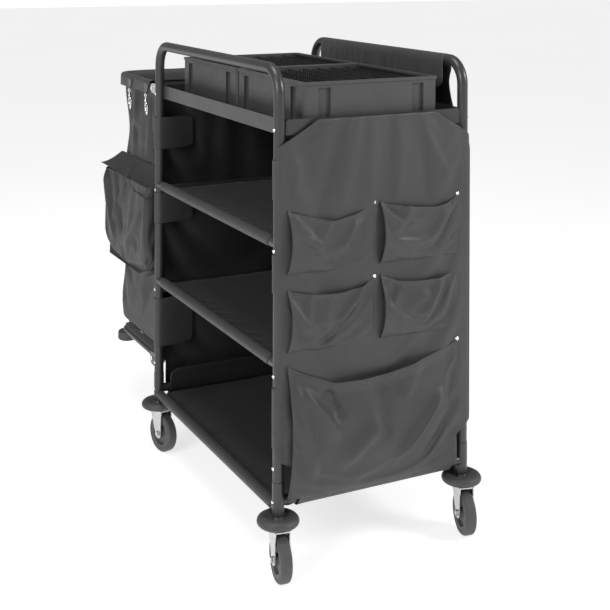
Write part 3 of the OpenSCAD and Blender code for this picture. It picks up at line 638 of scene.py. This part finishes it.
def make_pocket(name, node, foot_z, mouth, lip, belly, lines, slack=0.005, gusset=0.017, rows=34, cols=46):
    """A pocket on the organizer panel. Its left edge stands off the panel on a folded gusset, its right
    edge is sewn down, and mouth lists the points (y, z) that its slack upper edge runs through."""
    x0 = PANEL_X + 0.0016
    y0, y1 = mouth[0][0], mouth[-1][0]
    tuck = 3                                     # columns in the gusset's fold
    foot_z += RAISE
    mouth_y, mouth_z = np.array(mouth).T
    mouth_z = mouth_z + RAISE
    points = np.empty((rows, cols, 3))
    for i in range(rows):
        v = i / (rows - 1)
        stand = gusset * (0.08 + 0.92 * math.sin(math.pi * v ** 0.85) ** 0.7)
        edge = y0 + 0.009 * math.sin(math.pi * v)
        for j in range(cols):
            if j < tuck:
                t = j / tuck
                points[i, j] = (x0 + stand * t, edge + 0.014 * (1 - t), foot_z + (mouth_z[0] - foot_z) * v)
                continue
            u = (j - tuck) / (cols - 1 - tuck)
            y = edge + (y1 - edge) * u
            arch = math.sin(math.pi * u) ** 0.75
            out = stand * (1 - smooth_step(u * 3)) + lip * arch * v ** 1.5
            out += belly * arch * math.sin(math.pi * min(1.0, v * 1.12)) ** 0.8
            top = np.interp(y, mouth_y, mouth_z)
            points[i, j] = (x0 + out, y, foot_z + (top - foot_z) * v)
    free = np.zeros(points.shape[:2])
    for i, j in np.ndindex(free.shape):
        u, v = max(0.0, (j - tuck) / (cols - 1 - tuck)), i / (rows - 1)
        free[i, j] = smooth_step(u * 9) * smooth_step((1 - u) * 9) * smooth_step(v * 8)
    points[..., 0] += 1.5 * folds(points[..., 1], points[..., 2], lines) * free
    wobble(points, 0.0009, 16, y0 * 31 + foot_z * 7)
    points[..., 0] = np.maximum(points[..., 0], x0)
    points[0, :, 0] = points[:, -1, 0] = points[:, 0, 0] = x0
    sheet = Sheet(name, points, "cart_frame", (node,))
    pins = np.zeros(points.shape[:2])
    pins[0] = pins[:, -1] = pins[:, 0] = 1
    pins[:, 1:tuck + 1] = 0.92
    pins[-1, tuck] = 1

    def keep(p):
        p[..., 0] = np.maximum(p[..., 0], x0)
        return p

    sheet.drape(pins, slack, 0.006, keep, gravity=0.6)
    return sheet


POCKETS = (
    ("pocket_cloth_upper_front", "pocket_upper_front", 0.728,
     ((-0.257, 0.886), (-0.195, 0.868), (-0.133, 0.853), (-0.075, 0.863), (-0.012, 0.880)), 0.018, 0.008,
     (((-0.133, 0.862), (-0.190, 0.770), 0.020, 0.0090), ((-0.060, 0.855), (-0.135, 0.745), 0.013, 0.0080),
      ((-0.250, 0.880), (-0.170, 0.800), 0.012, 0.0050), ((-0.085, 0.800), (-0.030, 0.760), 0.012, -0.0040))),
    ("pocket_cloth_upper_rear", "pocket_upper_rear", 0.728,
     ((0.004, 0.884), (0.060, 0.873), (0.105, 0.866), (0.170, 0.859), (0.205, 0.864), (0.239, 0.880)), 0.016, 0.007,
     (((0.100, 0.868), (0.040, 0.800), 0.022, 0.0080), ((0.215, 0.860), (0.150, 0.760), 0.018, 0.0060),
      ((0.020, 0.880), (0.070, 0.840), 0.010, -0.0050))),
    ("pocket_cloth_lower_front", "pocket_lower_front", 0.538,
     ((-0.257, 0.692), (-0.180, 0.677), (-0.110, 0.674), (-0.050, 0.679), (-0.025, 0.688), (-0.012, 0.695)), 0.017, 0.008,
     (((-0.190, 0.680), (-0.210, 0.560), 0.014, 0.0080), ((-0.030, 0.685), (-0.120, 0.590), 0.014, 0.0090),
      ((-0.060, 0.640), (-0.160, 0.550), 0.010, -0.0060), ((-0.140, 0.670), (-0.150, 0.600), 0.020, 0.0040))),
    ("pocket_cloth_lower_rear", "pocket_lower_rear", 0.538,
     ((0.004, 0.700), (0.055, 0.684), (0.110, 0.678), (0.175, 0.674), (0.210, 0.680), (0.239, 0.694)), 0.017, 0.008,
     (((0.060, 0.680), (0.020, 0.610), 0.014, -0.0060), ((0.195, 0.675), (0.130, 0.570), 0.016, 0.0100),
      ((0.150, 0.640), (0.080, 0.600), 0.020, 0.0050), ((0.225, 0.680), (0.190, 0.560), 0.012, 0.0050))),
)
LARGE_FOLDS = (
    ((-0.245, 0.490), (-0.180, 0.230), 0.018, 0.0140), ((-0.215, 0.450), (-0.120, 0.330), 0.022, 0.0100),
    ((-0.150, 0.440), (-0.110, 0.370), 0.026, -0.0100), ((0.010, 0.350), (-0.120, 0.240), 0.030, 0.0090),
    ((0.195, 0.390), (0.045, 0.235), 0.016, 0.0160), ((0.235, 0.340), (0.130, 0.215), 0.014, -0.0060),
    ((0.000, 0.440), (0.020, 0.300), 0.022, -0.0080), ((0.120, 0.470), (0.060, 0.380), 0.030, 0.0060),
)


def make_pockets():
    sheets = [make_pocket(*entry) for entry in POCKETS]
    sheets.append(make_pocket(
        "pocket_cloth_large", "large_pocket", 0.180,
        ((-0.257, 0.508), (-0.200, 0.482), (-0.130, 0.455), (-0.060, 0.452), (0.020, 0.457), (0.110, 0.472),
         (0.190, 0.490), (0.239, 0.501)),
        0.024, 0.030, LARGE_FOLDS, slack=0.007, gusset=0.022, rows=56, cols=78))
    return sheets


# ------------------------------------------------------------------ back panel


def back_half_width(t, top):
    """Half the width of the back panel's cloth at a height t; above the bar it is the flap's."""
    full = POST_X + 0.012
    if t > top:
        return 0.350
    t -= RAISE
    if t > 1.165:
        return 0.334 + 0.016 * smooth_step((t - 1.165) / 0.05)
    if t > 1.035:
        return 0.334 + 0.062 * ((1.165 - t) / 0.130) ** 1.6
    if t > 0.995:
        fall = (1.035 - t) / 0.040
        return 0.396 + (full - 0.396) * math.sqrt(max(0.0, 1 - (1 - fall) ** 2))
    if t < 0.281:
        return full - (full - 0.385) * smooth_step((0.281 - t) / 0.03)
    return full


def make_back_panel():
    """Up the outside, over the rear handle bar and down the inside as a short flap."""
    bottom, flap_low = 0.146 + RAISE, 1.146 + RAISE
    arc_l = math.pi * SLEEVE_R
    rise = HANDLE_Z - bottom
    total = rise + arc_l + HANDLE_Z - flap_low
    rows, cols = 92, 61
    points = np.empty((rows, cols, 3))
    for i in range(rows):
        t = total * i / (rows - 1)
        half = back_half_width(bottom + t, HANDLE_Z)
        if t < rise:
            z = bottom + t
            out = PANEL_OUT + (SLEEVE_R - PANEL_OUT) * smooth_step((z - HANDLE_Z + 0.08) / 0.08)
        elif t < rise + arc_l:
            angle = (t - rise) / SLEEVE_R
            out, z = SLEEVE_R * math.cos(angle), HANDLE_Z + SLEEVE_R * math.sin(angle)
        else:
            z = HANDLE_Z - (t - rise - arc_l)
            out = -SLEEVE_R
            corner = 0.03
            depth = max(0.0, flap_low + corner - z)
            half -= corner - math.sqrt(max(0.0, corner ** 2 - depth ** 2))
        for j in range(cols):
            s = half * (2 * j / (cols - 1) - 1)
            x, bend = s, 0.0
            if abs(s) > POST_X:
                angle = (abs(s) - POST_X) / PANEL_OUT
                x = math.copysign(POST_X + PANEL_OUT * math.sin(angle), s)
                bend = PANEL_OUT * (1 - math.cos(angle))
            lift = 0.0025 * noise.noise(Vector((x * 9, z * 3.1, 6.3))) if t < rise and not bend else 0.0
            points[i, j] = (x, POST_Y + out - bend + max(0.0, lift), z)
    sheet = Sheet("back_panel_cloth", points, "cart_frame", ("back_panel",))
    pins = np.zeros(points.shape[:2])
    pins[np.abs(points[..., 0]) > POST_X - 0.016] = 1
    first_bar = int(rise / total * (rows - 1)) - 1
    last_bar = int((rise + arc_l) / total * (rows - 1)) + 1
    pins[first_bar:last_bar + 1] = 1
    pins[0] = 1
    outside = np.zeros(points.shape[:2], bool)
    outside[:first_bar + 1] = True

    def keep(p):
        y = p[..., 1]
        p[..., 1] = np.where(outside, np.clip(y, POST_Y + PANEL_OUT - 0.001, POST_Y + PANEL_OUT + 0.009), y)
        inside = ~outside & (p[..., 2] < HANDLE_Z)
        p[..., 1] = np.where(inside, np.clip(p[..., 1], POST_Y - SLEEVE_R - 0.008, POST_Y - SLEEVE_R + 0.004), p[..., 1])
        return p

    sheet.drape(pins, 0.012, 0.014, keep)
    return sheet


# ------------------------------------------------------------------ shelves


def make_shelf(name, node, bars, sag, sleeve_gap, seed, reach):
    """A cloth shelf: sleeves round the front and rear bars and a slack sheet between them, which
    reaches this far past the post centres."""
    low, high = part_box(bars)
    bar_z = (low[2] + high[2]) / 2
    bar_r = (high[2] - low[2]) / 2 + 0.0009
    sheet_half, sleeve_half = POST_X + reach, POST_X - sleeve_gap
    turn = np.radians(np.arange(-30, -352, -18))
    front = [(-POST_Y + bar_r * math.cos(a), bar_z + bar_r * math.sin(a), sleeve_half) for a in turn]
    inner = POST_Y - bar_r * 1.15
    middle = []
    for t in np.linspace(-1, 1, 44):
        edge = smooth_step((1 - abs(t)) * 14)
        middle.append((t * inner, bar_z - 0.0015 - sag * (1 - t ** 2) * 0.5, sleeve_half + (sheet_half - sleeve_half) * edge))
    rear = [(-y, z, half) for y, z, half in reversed(front)]
    path = front + middle + rear
    cols = 57
    points = np.empty((len(path), cols, 3))
    for i, (y, z, half) in enumerate(path):
        for j in range(cols):
            points[i, j] = (half * (2 * j / (cols - 1) - 1), y, z)
    first, last = len(front), len(front) + len(middle)
    wobble(points[first + 1:last - 1], 0.0016, 11, seed)
    for i in range(first + 2, last - 2):
        for j in range(cols):
            x, y, z = points[i, j]
            points[i, j, 2] += 0.0032 * noise.noise(Vector((x * 2.2, y * 17, seed)))
    if reach > 0:                                # the ends turn up against the end panels
        sheet_part = points[first + 2:last - 2]
        near = np.clip((np.abs(sheet_part[..., 0]) - POST_X + 0.022) / 0.018, 0, 1)
        sheet_part[..., 2] += 0.0085 * near ** 1.5
    sheet = Sheet(name, points, "cart_frame", (node,))
    pins = np.zeros(points.shape[:2])
    pins[:first + 1] = pins[last - 1:] = 1
    if reach > 0:
        pins[:, :3] = pins[:, -3:] = 1
    floor = bar_z - sag - 0.004

    def keep(p):
        p[..., 2] = np.maximum(p[..., 2], floor)
        return p

    sheet.drape(pins, 0.010, 0.020, keep, gravity=0.5)
    return sheet, first, last


SHELVES = (
    ("upper_shelf_cloth", "upper_shelf_cover", "upper_shelf_bars", 0.010, 0.038, 7.2, -0.0145),
    ("middle_shelf_cloth", "middle_shelf_cover", "middle_shelf_bars", 0.010, 0.038, 4.6, -0.0145),
    ("bottom_shelf_cloth", "bottom_shelf_cover", "bottom_shelf_bars", 0.004, 0.020, 1.4, 0.006),
)

# ------------------------------------------------------------------ linen bag


def rounded_loop(x0, x1, y0, y1, radius, count):
    """Evenly spaced points round a rectangle with round corners, anticlockwise from above."""
    outline = []
    for cx, cy, start in ((x1, y1, 0), (x0, y1, 90), (x0, y0, 180), (x1, y0, 270)):
        px = cx - radius if cx == x1 else cx + radius
        py = cy - radius if cy == y1 else cy + radius
        for a in np.radians(np.linspace(start, start + 90, 7)):
            outline.append((px + radius * math.cos(a), py + radius * math.sin(a)))
    outline.append(outline[0])
    outline = np.array(outline)
    travel = np.concatenate([[0], np.cumsum(np.linalg.norm(np.diff(outline, axis=0), axis=1))])
    spots = np.linspace(0, travel[-1], count, endpoint=False)
    return [(np.interp(s, travel, outline[:, 0]), np.interp(s, travel, outline[:, 1])) for s in spots]


bag_low, bag_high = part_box("linen_bag")


BAG_FOLDS = (
    ((-0.50, 1.055), (-0.66, 0.860), 0.030, 0.012), ((-0.60, 1.055), (-0.58, 0.850), 0.026, -0.010),
    ((-0.72, 1.055), (-0.80, 0.860), 0.030, 0.010), ((-0.83, 1.050), (-0.74, 0.900), 0.024, -0.008),
    ((-0.86, 0.480), (-0.70, 0.330), 0.034, 0.012), ((-0.56, 0.480), (-0.66, 0.320), 0.030, -0.010),
    ((-0.80, 0.300), (-0.55, 0.345), 0.020, 0.010),
)


def bag_inset(z):
    """How far the hanging cloth pulls in from its full outline at a height."""
    z -= RAISE
    waist = 0.012 * math.exp(-((z - 0.912) / 0.085) ** 2)
    tuck = 0.004 * math.exp(-((z - 0.480) / 0.050) ** 2)
    swell = -0.005 * math.exp(-((z - 0.350) / 0.080) ** 2)
    return waist + tuck + swell + 0.012 * smooth_step((0.285 - z) / 0.03)


def make_bag():
    rows, cols = 68, 150
    top = bag_high[2] + 0.010
    points = np.empty((rows, cols, 3))
    for i in range(rows):
        z = bag_low[2] + (top - bag_low[2]) * i / (rows - 1)
        pull = bag_inset(z)
        loop = rounded_loop(bag_low[0] + pull, bag_high[0] - abs(pull) * 0.3, bag_low[1] + pull,
                            bag_high[1] - pull, 0.020, cols)
        for j, (x, y) in enumerate(loop):
            points[i, j] = (x, y, z)
    lift = folds(points[..., 0], points[..., 2], BAG_FOLDS)
    inside = np.clip(np.minimum(points[..., 0] - bag_low[0], bag_high[0] - points[..., 0]) * 25, 0, 1)
    face = np.clip((np.abs(points[..., 1]) - 0.19) * 40, 0, 1) * inside
    points[..., 1] += np.sign(points[..., 1]) * lift * face
    end = np.clip((0.86 + points[..., 0]) * -60, 0, 1) * (1 - face)
    points[..., 0] -= folds(points[..., 1], points[..., 2], (
        ((-0.15, 1.05), (-0.05, 0.70), 0.035, 0.010), ((0.14, 1.05), (0.05, 0.55), 0.035, 0.010),
        ((0.02, 0.60), (-0.16, 0.35), 0.035, -0.008))) * end
    wobble(points[2:-2], 0.0028, 8, 4.1)
    sheet = Sheet("linen_bag_cloth", points, "cart_frame", ("linen_bag",), closed=True, material=FABRIC_BAG)
    pins = np.zeros(points.shape[:2])
    pins[:2] = pins[-3:] = 1

    def keep(p):
        p[..., 0] = np.clip(p[..., 0], bag_low[0] - 0.008, bag_high[0])
        p[..., 1] = np.clip(p[..., 1], bag_low[1] - 0.008, bag_high[1] + 0.008)
        return p

    sheet.drape(pins, 0.008, 0.012, keep, gravity=0.8)
    return sheet


def make_bag_bottom(bag):
    """The bag's flat base, sewn to the lowest ring of its wall."""
    ring = bag.points[0]
    centre = ring.mean(axis=0)
    shares = (1.0, 0.94, 0.7, 0.4, 0.12)
    points = np.array([[centre + (p - centre) * share for p in ring] for share in shares])
    points[2:, :, 2] -= 0.001
    # The base is made of the darker fabric copy as painted shade.
    sheet = Sheet("linen_bag_base", points, "cart_frame", closed=True, material=FABRIC_PAINTED_SHADE)
    return sheet


pouch_low, pouch_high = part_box("bag_pouch")


POUCH_FOLDS = (
    ((-0.86, 0.790), (-0.78, 0.560), 0.026, 0.012), ((-0.76, 0.790), (-0.70, 0.600), 0.024, -0.012),
    ((-0.62, 0.790), (-0.80, 0.620), 0.020, 0.012), ((-0.50, 0.700), (-0.68, 0.540), 0.026, 0.010),
    ((-0.58, 0.620), (-0.50, 0.520), 0.022, -0.008),
)


def make_pouch():
    """A deep pouch on the bag's open side, with side walls, round corners and a slanting foot."""
    rows, cols = 44, 90
    wall_y = bag_low[1] - 0.002
    top_z = pouch_high[2] - 0.004
    bend = 0.018
    points = np.empty((rows, cols, 3))
    for i in range(rows):
        v = i / (rows - 1)
        rise = 1 - smooth_step(v * 3.2)
        far, near = pouch_low[0] - 0.002 + 0.016 * rise, pouch_high[0] - 0.004 - 0.030 * rise
        front = pouch_low[1] - 0.001 + 0.016 * rise + 0.010 * smooth_step((v - 0.86) * 7)
        path = [(near, wall_y), (near, front + bend)]
        for a in np.radians((30, 60, 90)):
            path.append((near - bend + bend * math.cos(a), front + bend - bend * math.sin(a)))
        for a in np.radians((0, 30, 60, 90)):
            path.append((far + bend - bend * math.sin(a), front + bend - bend * math.cos(a)))
        path.append((far, wall_y))
        path = np.array(path)
        travel = np.concatenate([[0], np.cumsum(np.linalg.norm(np.diff(path, axis=0), axis=1))])
        for j, spot in enumerate(np.linspace(0, travel[-1], cols)):
            x, y = (np.interp(spot, travel, path[:, k]) for k in (0, 1))
            foot = pouch_low[2] + 0.004 + 0.034 * smooth_step((x + 0.55) / 0.10)
            points[i, j] = (x, y, foot + (top_z - foot) * v)
    free = np.clip((wall_y - points[..., 1]) * 30, 0, 1)
    points[..., 1] -= folds(points[..., 0], points[..., 2], POUCH_FOLDS) * free
    wobble(points[1:], 0.003, 9, 2.3)
    points[..., 1] = np.minimum(points[..., 1], wall_y)
    sheet = Sheet("bag_pouch_cloth", points, "cart_frame", ("bag_pouch",), material=FABRIC_BAG)
    pins = np.zeros(points.shape[:2])
    pins[0] = pins[:, 0] = pins[:, -1] = 1
    pins[-1] = 0.7

    def keep(p):
        p[..., 1] = np.clip(p[..., 1], pouch_low[1] - 0.008, wall_y)
        p[..., 0] = np.clip(p[..., 0], pouch_low[0] - 0.008, pouch_high[0])
        return p

    sheet.drape(pins, 0.008, 0.012, keep, gravity=0.8)
    return sheet


def make_pouch_bottom(pouch):
    """The pouch's floor, sewn between its lowest edge and the bag."""
    edge = pouch.points[0]
    wall_y = edge[0, 1]
    points = np.empty((6, len(edge), 3))
    for k in range(6):
        share = k / 5
        points[k] = edge
        points[k, :, 1] = edge[:, 1] + (wall_y - edge[:, 1]) * share
        points[k, :, 2] = edge[:, 2] - 0.010 * math.sin(math.pi * share)
    return Sheet("bag_pouch_floor", points, "cart_frame", material=FABRIC_BAG)


def make_flap():
    """The pouch's flap: a stiff-edged sheet, root at the bag's wall, tip at the outer corner."""
    low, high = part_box("pouch_flap")
    rows, cols = 18, 48
    points = np.empty((rows, cols, 3))
    root_y, root_z = high[1] - 0.001, high[2] - 0.0015
    tip_y = low[1] + 0.002
    for i in range(rows):
        v = i / (rows - 1)
        for j in range(cols):
            u = j / (cols - 1)
            x = low[0] + (high[0] - low[0]) * u
            drop = 0.034 + 0.046 * smooth_step((u - 0.15) / 0.85)
            crease = 0.010 * math.exp(-((u - 0.30 - 0.25 * v) / 0.05) ** 2) * v
            crease -= 0.008 * math.exp(-((u - 0.62 - 0.1 * v) / 0.06) ** 2) * v
            droop = math.sin(math.pi * v * 0.5)
            pinch = 0.010 * smooth_step(u * 1.5) * math.sin(math.pi * u)
            points[i, j] = (x - 0.006 * v * (1 - u), root_y + (tip_y - root_y + pinch) * v, root_z - drop * droop + crease)
    wobble(points[2:], 0.0016, 14, 8.8)
    sheet = Sheet("pouch_flap_cloth", points, "bag_flap", ("pouch_flap",), material=FABRIC_BAG)
    return sheet


# ------------------------------------------------------------------ rim hem


hem_low, hem_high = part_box("rim_hem")


def make_hem():
    """The bag's wide stiff hem, folded over the rim tube and flared a little at its lower edge."""
    half_y = (hem_high[1] - hem_low[1]) / 2 - 0.012
    x_out, x_in = hem_low[0] + 0.012, hem_high[0]
    bend_r = 0.060
    z_mid = (hem_low[2] + hem_high[2]) / 2
    path = [(x_in - 0.008 * k, -half_y, 0.0, -1.0) for k in np.linspace(0, (x_in - x_out - bend_r) / 0.008, 34)]
    for a in np.radians(np.linspace(0, 90, 12))[1:]:
        path.append((x_out + bend_r - bend_r * math.sin(a), -half_y + bend_r - bend_r * math.cos(a), -math.sin(a), -math.cos(a)))
    for y in np.linspace(-half_y + bend_r, half_y - bend_r, 40)[1:]:
        path.append((x_out, y, -1.0, 0.0))
    path += [(x, -y, nx, -ny) for x, y, nx, ny in reversed(path[:45])]
    section = []
    half_h = (hem_high[2] - hem_low[2]) / 2
    for out, up in (
        (-0.0115, -0.98), (-0.0118, -0.6), (-0.0116, -0.1), (-0.0112, 0.45), (-0.0095, 0.82), (-0.005, 0.98),
        (0.0, 1.0), (0.005, 0.98), (0.0095, 0.82), (0.0112, 0.45), (0.0114, -0.1), (0.0117, -0.6), (0.0120, -1.0),
    ):
        section.append((out, up * half_h))
    points = np.empty((len(path), len(section), 3))
    for i, (x, y, nx, ny) in enumerate(path):
        for j, (out, up) in enumerate(section):
            points[i, j] = (x + nx * out, y + ny * out, z_mid + up)
    wobble(points, 0.0009, 16, 5.5)
    return Sheet("rim_hem_cloth", points, "bag_rim", ("rim_hem",))


def sweep(verts, faces, path, radius, closed=False, sides=10):
    """Adds a round rod that follows a path; radius may be one number or one per point."""
    path = np.asarray(path, float)
    count = len(path)
    base = len(verts)
    ahead = np.roll(path, -1, axis=0) if closed else np.vstack([path[1:], path[-1:]])
    behind = np.roll(path, 1, axis=0) if closed else np.vstack([path[:1], path[:-1]])
    for k in range(count):
        along = ahead[k] - behind[k]
        along /= np.linalg.norm(along)
        side = np.cross(along, (0.03, 1.0, 0.02))
        side /= np.linalg.norm(side)
        up = np.cross(side, along)
        r = radius[k] if np.ndim(radius) else radius
        for a in np.arange(sides) * 2 * math.pi / sides:
            verts.append(path[k] + (side * math.cos(a) + up * math.sin(a)) * r)
    for k in range(count if closed else count - 1):
        m = (k + 1) % count
        for a in range(sides):
            b = (a + 1) % sides
            faces.append((base + k * sides + a, base + m * sides + a, base + m * sides + b, base + k * sides + b))
    if not closed:
        faces.append(tuple(base + a for a in range(sides)))
        faces.append(tuple(base + (count - 1) * sides + a for a in reversed(range(sides))))


def make_hooks():
    """Snap hooks: an eye on a webbing tongue, a swivel barrel, an oval hook and its spring gate."""
    for node, body in (("snap_hooks_inner", "hooks_inner"), ("snap_hooks_outer", "hooks_outer")):
        low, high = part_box(node)
        x, eye_z = (low[0] + high[0]) / 2, high[2] - 0.008
        verts, faces = [], []
        for sy in (-1, 1):
            y = sy * (high[1] - 0.0014)

            def at(right, down):
                return (x + right + 0.22 * down, y, eye_z - down)

            turn = np.linspace(0, 2 * math.pi, 20, endpoint=False)
            sweep(verts, faces, [at(0.0075 * math.cos(a), 0.0075 * math.sin(a)) for a in turn], 0.0018, True)
            sweep(verts, faces, [at(0, d) for d in (0.008, 0.010, 0.017, 0.019)], (0.003, 0.0048, 0.0048, 0.003))
            oval = [at(0.0085 * math.cos(a), 0.039 + 0.0185 * math.sin(a)) for a in turn]
            sweep(verts, faces, oval, 0.0027, True)
            sweep(verts, faces, [at(0.0085, 0.026), at(0.0105, 0.034), at(0.0085, 0.046)], (0.002, 0.0036, 0.002))
            sweep(verts, faces, [at(0.0105, 0.034), at(0.0150, 0.031)], (0.0022, 0.0028))
            rows, cols = 14, 7
            points = np.empty((rows, cols, 3))
            for i in range(rows):
                t = i / (rows - 1)
                half = 0.006 + 0.011 * smooth_step(t * 1.2)
                for j in range(cols):
                    points[i, j] = (x + half * (2 * j / (cols - 1) - 1), y - sy * 0.0022 * smooth_step(t * 2), eye_z + 0.004 + 0.034 * t)
            strap = Sheet(f"hook_strap_{body}_{'rear' if sy > 0 else 'front'}", points, "bag_rim", material=NET)
            strap.finish(0.0015)
        piece = mesh_piece(f"{body}_snaps", verts, faces, CHROME, body)
        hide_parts(node)


# ------------------------------------------------------------------ bin inserts


def make_insert(name, node, body):
    """Crossed black dividers with a comb of teeth along their upper edges."""
    low, high = (np.array(c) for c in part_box(node))
    verts, faces = [], []
    thick, tooth, notch, deep = 0.0022, 0.0070, 0.0060, 0.010
    top, base = high[2] - 0.002, low[2]
    lines = 8

    def slab(a, b, z0, z1, along):
        k = len(verts)
        x0, y0 = a
        x1, y1 = b
        t = thick / 2
        ox, oy = (0, t) if along == 0 else (t, 0)
        for z in (z0, z1):
            verts.extend(((x0 - ox, y0 - oy, z), (x1 - ox, y1 - oy, z), (x1 + ox, y1 + oy, z), (x0 + ox, y0 + oy, z)))
        for f in ((0, 3, 2, 1), (4, 5, 6, 7), (0, 1, 5, 4), (1, 2, 6, 5), (2, 3, 7, 6), (3, 0, 4, 7)):
            faces.append(tuple(k + n for n in f))

    for axis in (0, 1):
        other = 1 - axis
        start, stop = low[axis] + 0.001, high[axis] - 0.001
        for n in range(lines + 1):
            line = low[other] + 0.002 + (high[other] - low[other] - 0.004) * n / lines
            drop = 0.0 if axis == 0 else 0.014

            def at(s):
                return (s, line) if axis == 0 else (line, s)

            slab(at(start), at(stop), base, top - deep - drop, axis)
            s = start + 0.002
            while s + tooth < stop:
                slab(at(s), at(s + tooth), top - deep - drop, top - drop, axis)
                s += tooth + notch
    piece = mesh_piece(name, verts, faces, INSERT, body, smooth=False)
    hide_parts(node)


# ------------------------------------------------------------------ build everything

organizer = make_end_panel("organizer_panel_cloth", 1, "organizer_panel", 0.222, ORGANIZER_FOLDS)
bag_end = make_end_panel("bag_end_panel_cloth", -1, "bag_end_panel", 0.238, BAG_END_FOLDS)
pockets = make_pockets()
back = make_back_panel()
shelves = [make_shelf(*entry) for entry in SHELVES]
bag = make_bag()
pouch = make_pouch()
run_drapes()

make_tabs()
flap = make_flap()
hem = make_hem()
base = make_bag_bottom(bag)
pouch_base = make_pouch_bottom(pouch)

for sheet, edges, wide in (
    (organizer, ("low", "left", "right"), 2), (bag_end, ("low", "left", "right"), 2), (flap, ("high", "left", "right"), 2),
    *((pocket, ("high", "right"), 3) for pocket in pockets), (pouch, ("high",), 2),
):
    sheet.hem(edges, wide)
stitch_sheet(organizer, "cart_frame", rows=(organizer.rows - 3,))
stitch_sheet(bag_end, "cart_frame", rows=(bag_end.rows - 3,), flip=-1)
for pocket in pockets:
    stitch_sheet(pocket, "cart_frame", rows=(1, pocket.rows - 3), cols=(pocket.cols - 2,))
for shelf, first, last in shelves:
    stitch_sheet(shelf, "cart_frame", rows=(first + 2, last - 3))
stitch_sheet(hem, "bag_rim", cols=(10,))
stitch_sheet(flap, "bag_flap", rows=(flap.rows - 3,))

for sheet in (organizer, bag_end, back, bag, pouch, pouch_base, flap, hem, base, *pockets, *(entry[0] for entry in shelves)):
    sheet.finish()
make_hooks()
make_insert("insert_teeth_organizer_end", "insert_organizer_end", "organizer_end_bin")
make_insert("insert_teeth_bag_end", "insert_bag_end", "bag_end_bin")
STITCHES.build()

for sheet in (bag, pouch, pouch_base, base, flap):
    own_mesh(sheet.obj)

# ------------------------------------------------------------------ floor, light and camera


def make_floor():
    bpy.ops.mesh.primitive_plane_add(size=60, location=(0, 0, 0))
    floor = bpy.context.object
    floor.name = "floor"
    n = Nodes("floor")
    n.link(n.ramp(n.noise(0.6, 2), 0, grey(0.62), grey(0.66)), 0, n.bsdf, "Base Color")
    n.bsdf.inputs["Roughness"].default_value = 0.8
    n.bsdf.inputs["Emission Color"].default_value = (1, 1, 1, 1)
    n.bsdf.inputs["Emission Strength"].default_value = 0.70
    floor.data.materials.append(n.material)


def area_light(name, place, target, size, power):
    data = bpy.data.lights.new(name, "AREA")
    data.shape = "DISK"
    data.size = size
    data.energy = power
    light = bpy.data.objects.new(name, data)
    light.location = place
    light.rotation_euler = (Vector(target) - Vector(place)).to_track_quat("-Z", "Y").to_euler()
    bpy.context.scene.collection.objects.link(light)


def make_light():
    """A white surround that only the camera sees at full strength, and three soft boxes."""
    world = bpy.data.worlds.new("studio")
    bpy.context.scene.world = world
    world.use_nodes = True
    tree = world.node_tree
    path = tree.nodes.new("ShaderNodeLightPath")
    level = tree.nodes.new("ShaderNodeMapRange")
    level.inputs["To Min"].default_value = 0.27
    level.inputs["To Max"].default_value = 1.05
    tree.links.new(path.outputs["Is Camera Ray"], level.inputs["Value"])
    tree.nodes["Background"].inputs[0].default_value = (1, 1, 1, 1)
    tree.links.new(level.outputs[0], tree.nodes["Background"].inputs[1])
    area_light("key", (2.3, 2.6, 2.5), (0.2, 0, 0.7), 1.2, 75)
    area_light("front", (2.0, -3.9, 2.6), (0.0, 0, 0.7), 2.0, 95)
    area_light("top", (0.2, -0.8, 3.8), (0, 0, 0.9), 1.6, 45)


def make_camera():
    """A level camera with a lens shift, so that uprights stay parallel. The shift is driven by the
    camera's own height: it is only there while the camera stands at this viewpoint."""
    data = bpy.data.cameras.new("camera")
    camera = bpy.data.objects.new("camera", data)
    bpy.context.scene.collection.objects.link(camera)
    camera.location = (3.0246, -1.5231, 1.5060 + RAISE)
    look = Vector((-0.8917, 0.4527, 0))
    camera.rotation_mode = "QUATERNION"
    camera.rotation_quaternion = look.to_track_quat("-Z", "Y") @ Quaternion((0, 0, 1), 0.0030)
    data.sensor_width = 36
    data.lens = 70.09
    data.clip_end = 100
    data.shift_x = 0.0015
    shift = -0.5746
    curve = data.driver_add("shift_y")
    driver = curve.driver
    driver.type = "SUM"
    height = driver.variables.new()
    height.type = "SINGLE_PROP"
    height.targets[0].id = camera
    height.targets[0].data_path = "location[2]"
    for modifier in list(curve.modifiers):
        curve.modifiers.remove(modifier)
    z = camera.location[2]
    curve.keyframe_points.add(3)
    for point, (at, value) in zip(curve.keyframe_points, ((z - 0.0005, 0), (z, shift), (z + 0.0005, 0))):
        point.co = (at, value)
        point.interpolation = "LINEAR"
    bpy.context.scene.camera = camera


make_floor()
make_light()
make_camera()
bpy.context.scene.view_settings.view_transform = "Standard"
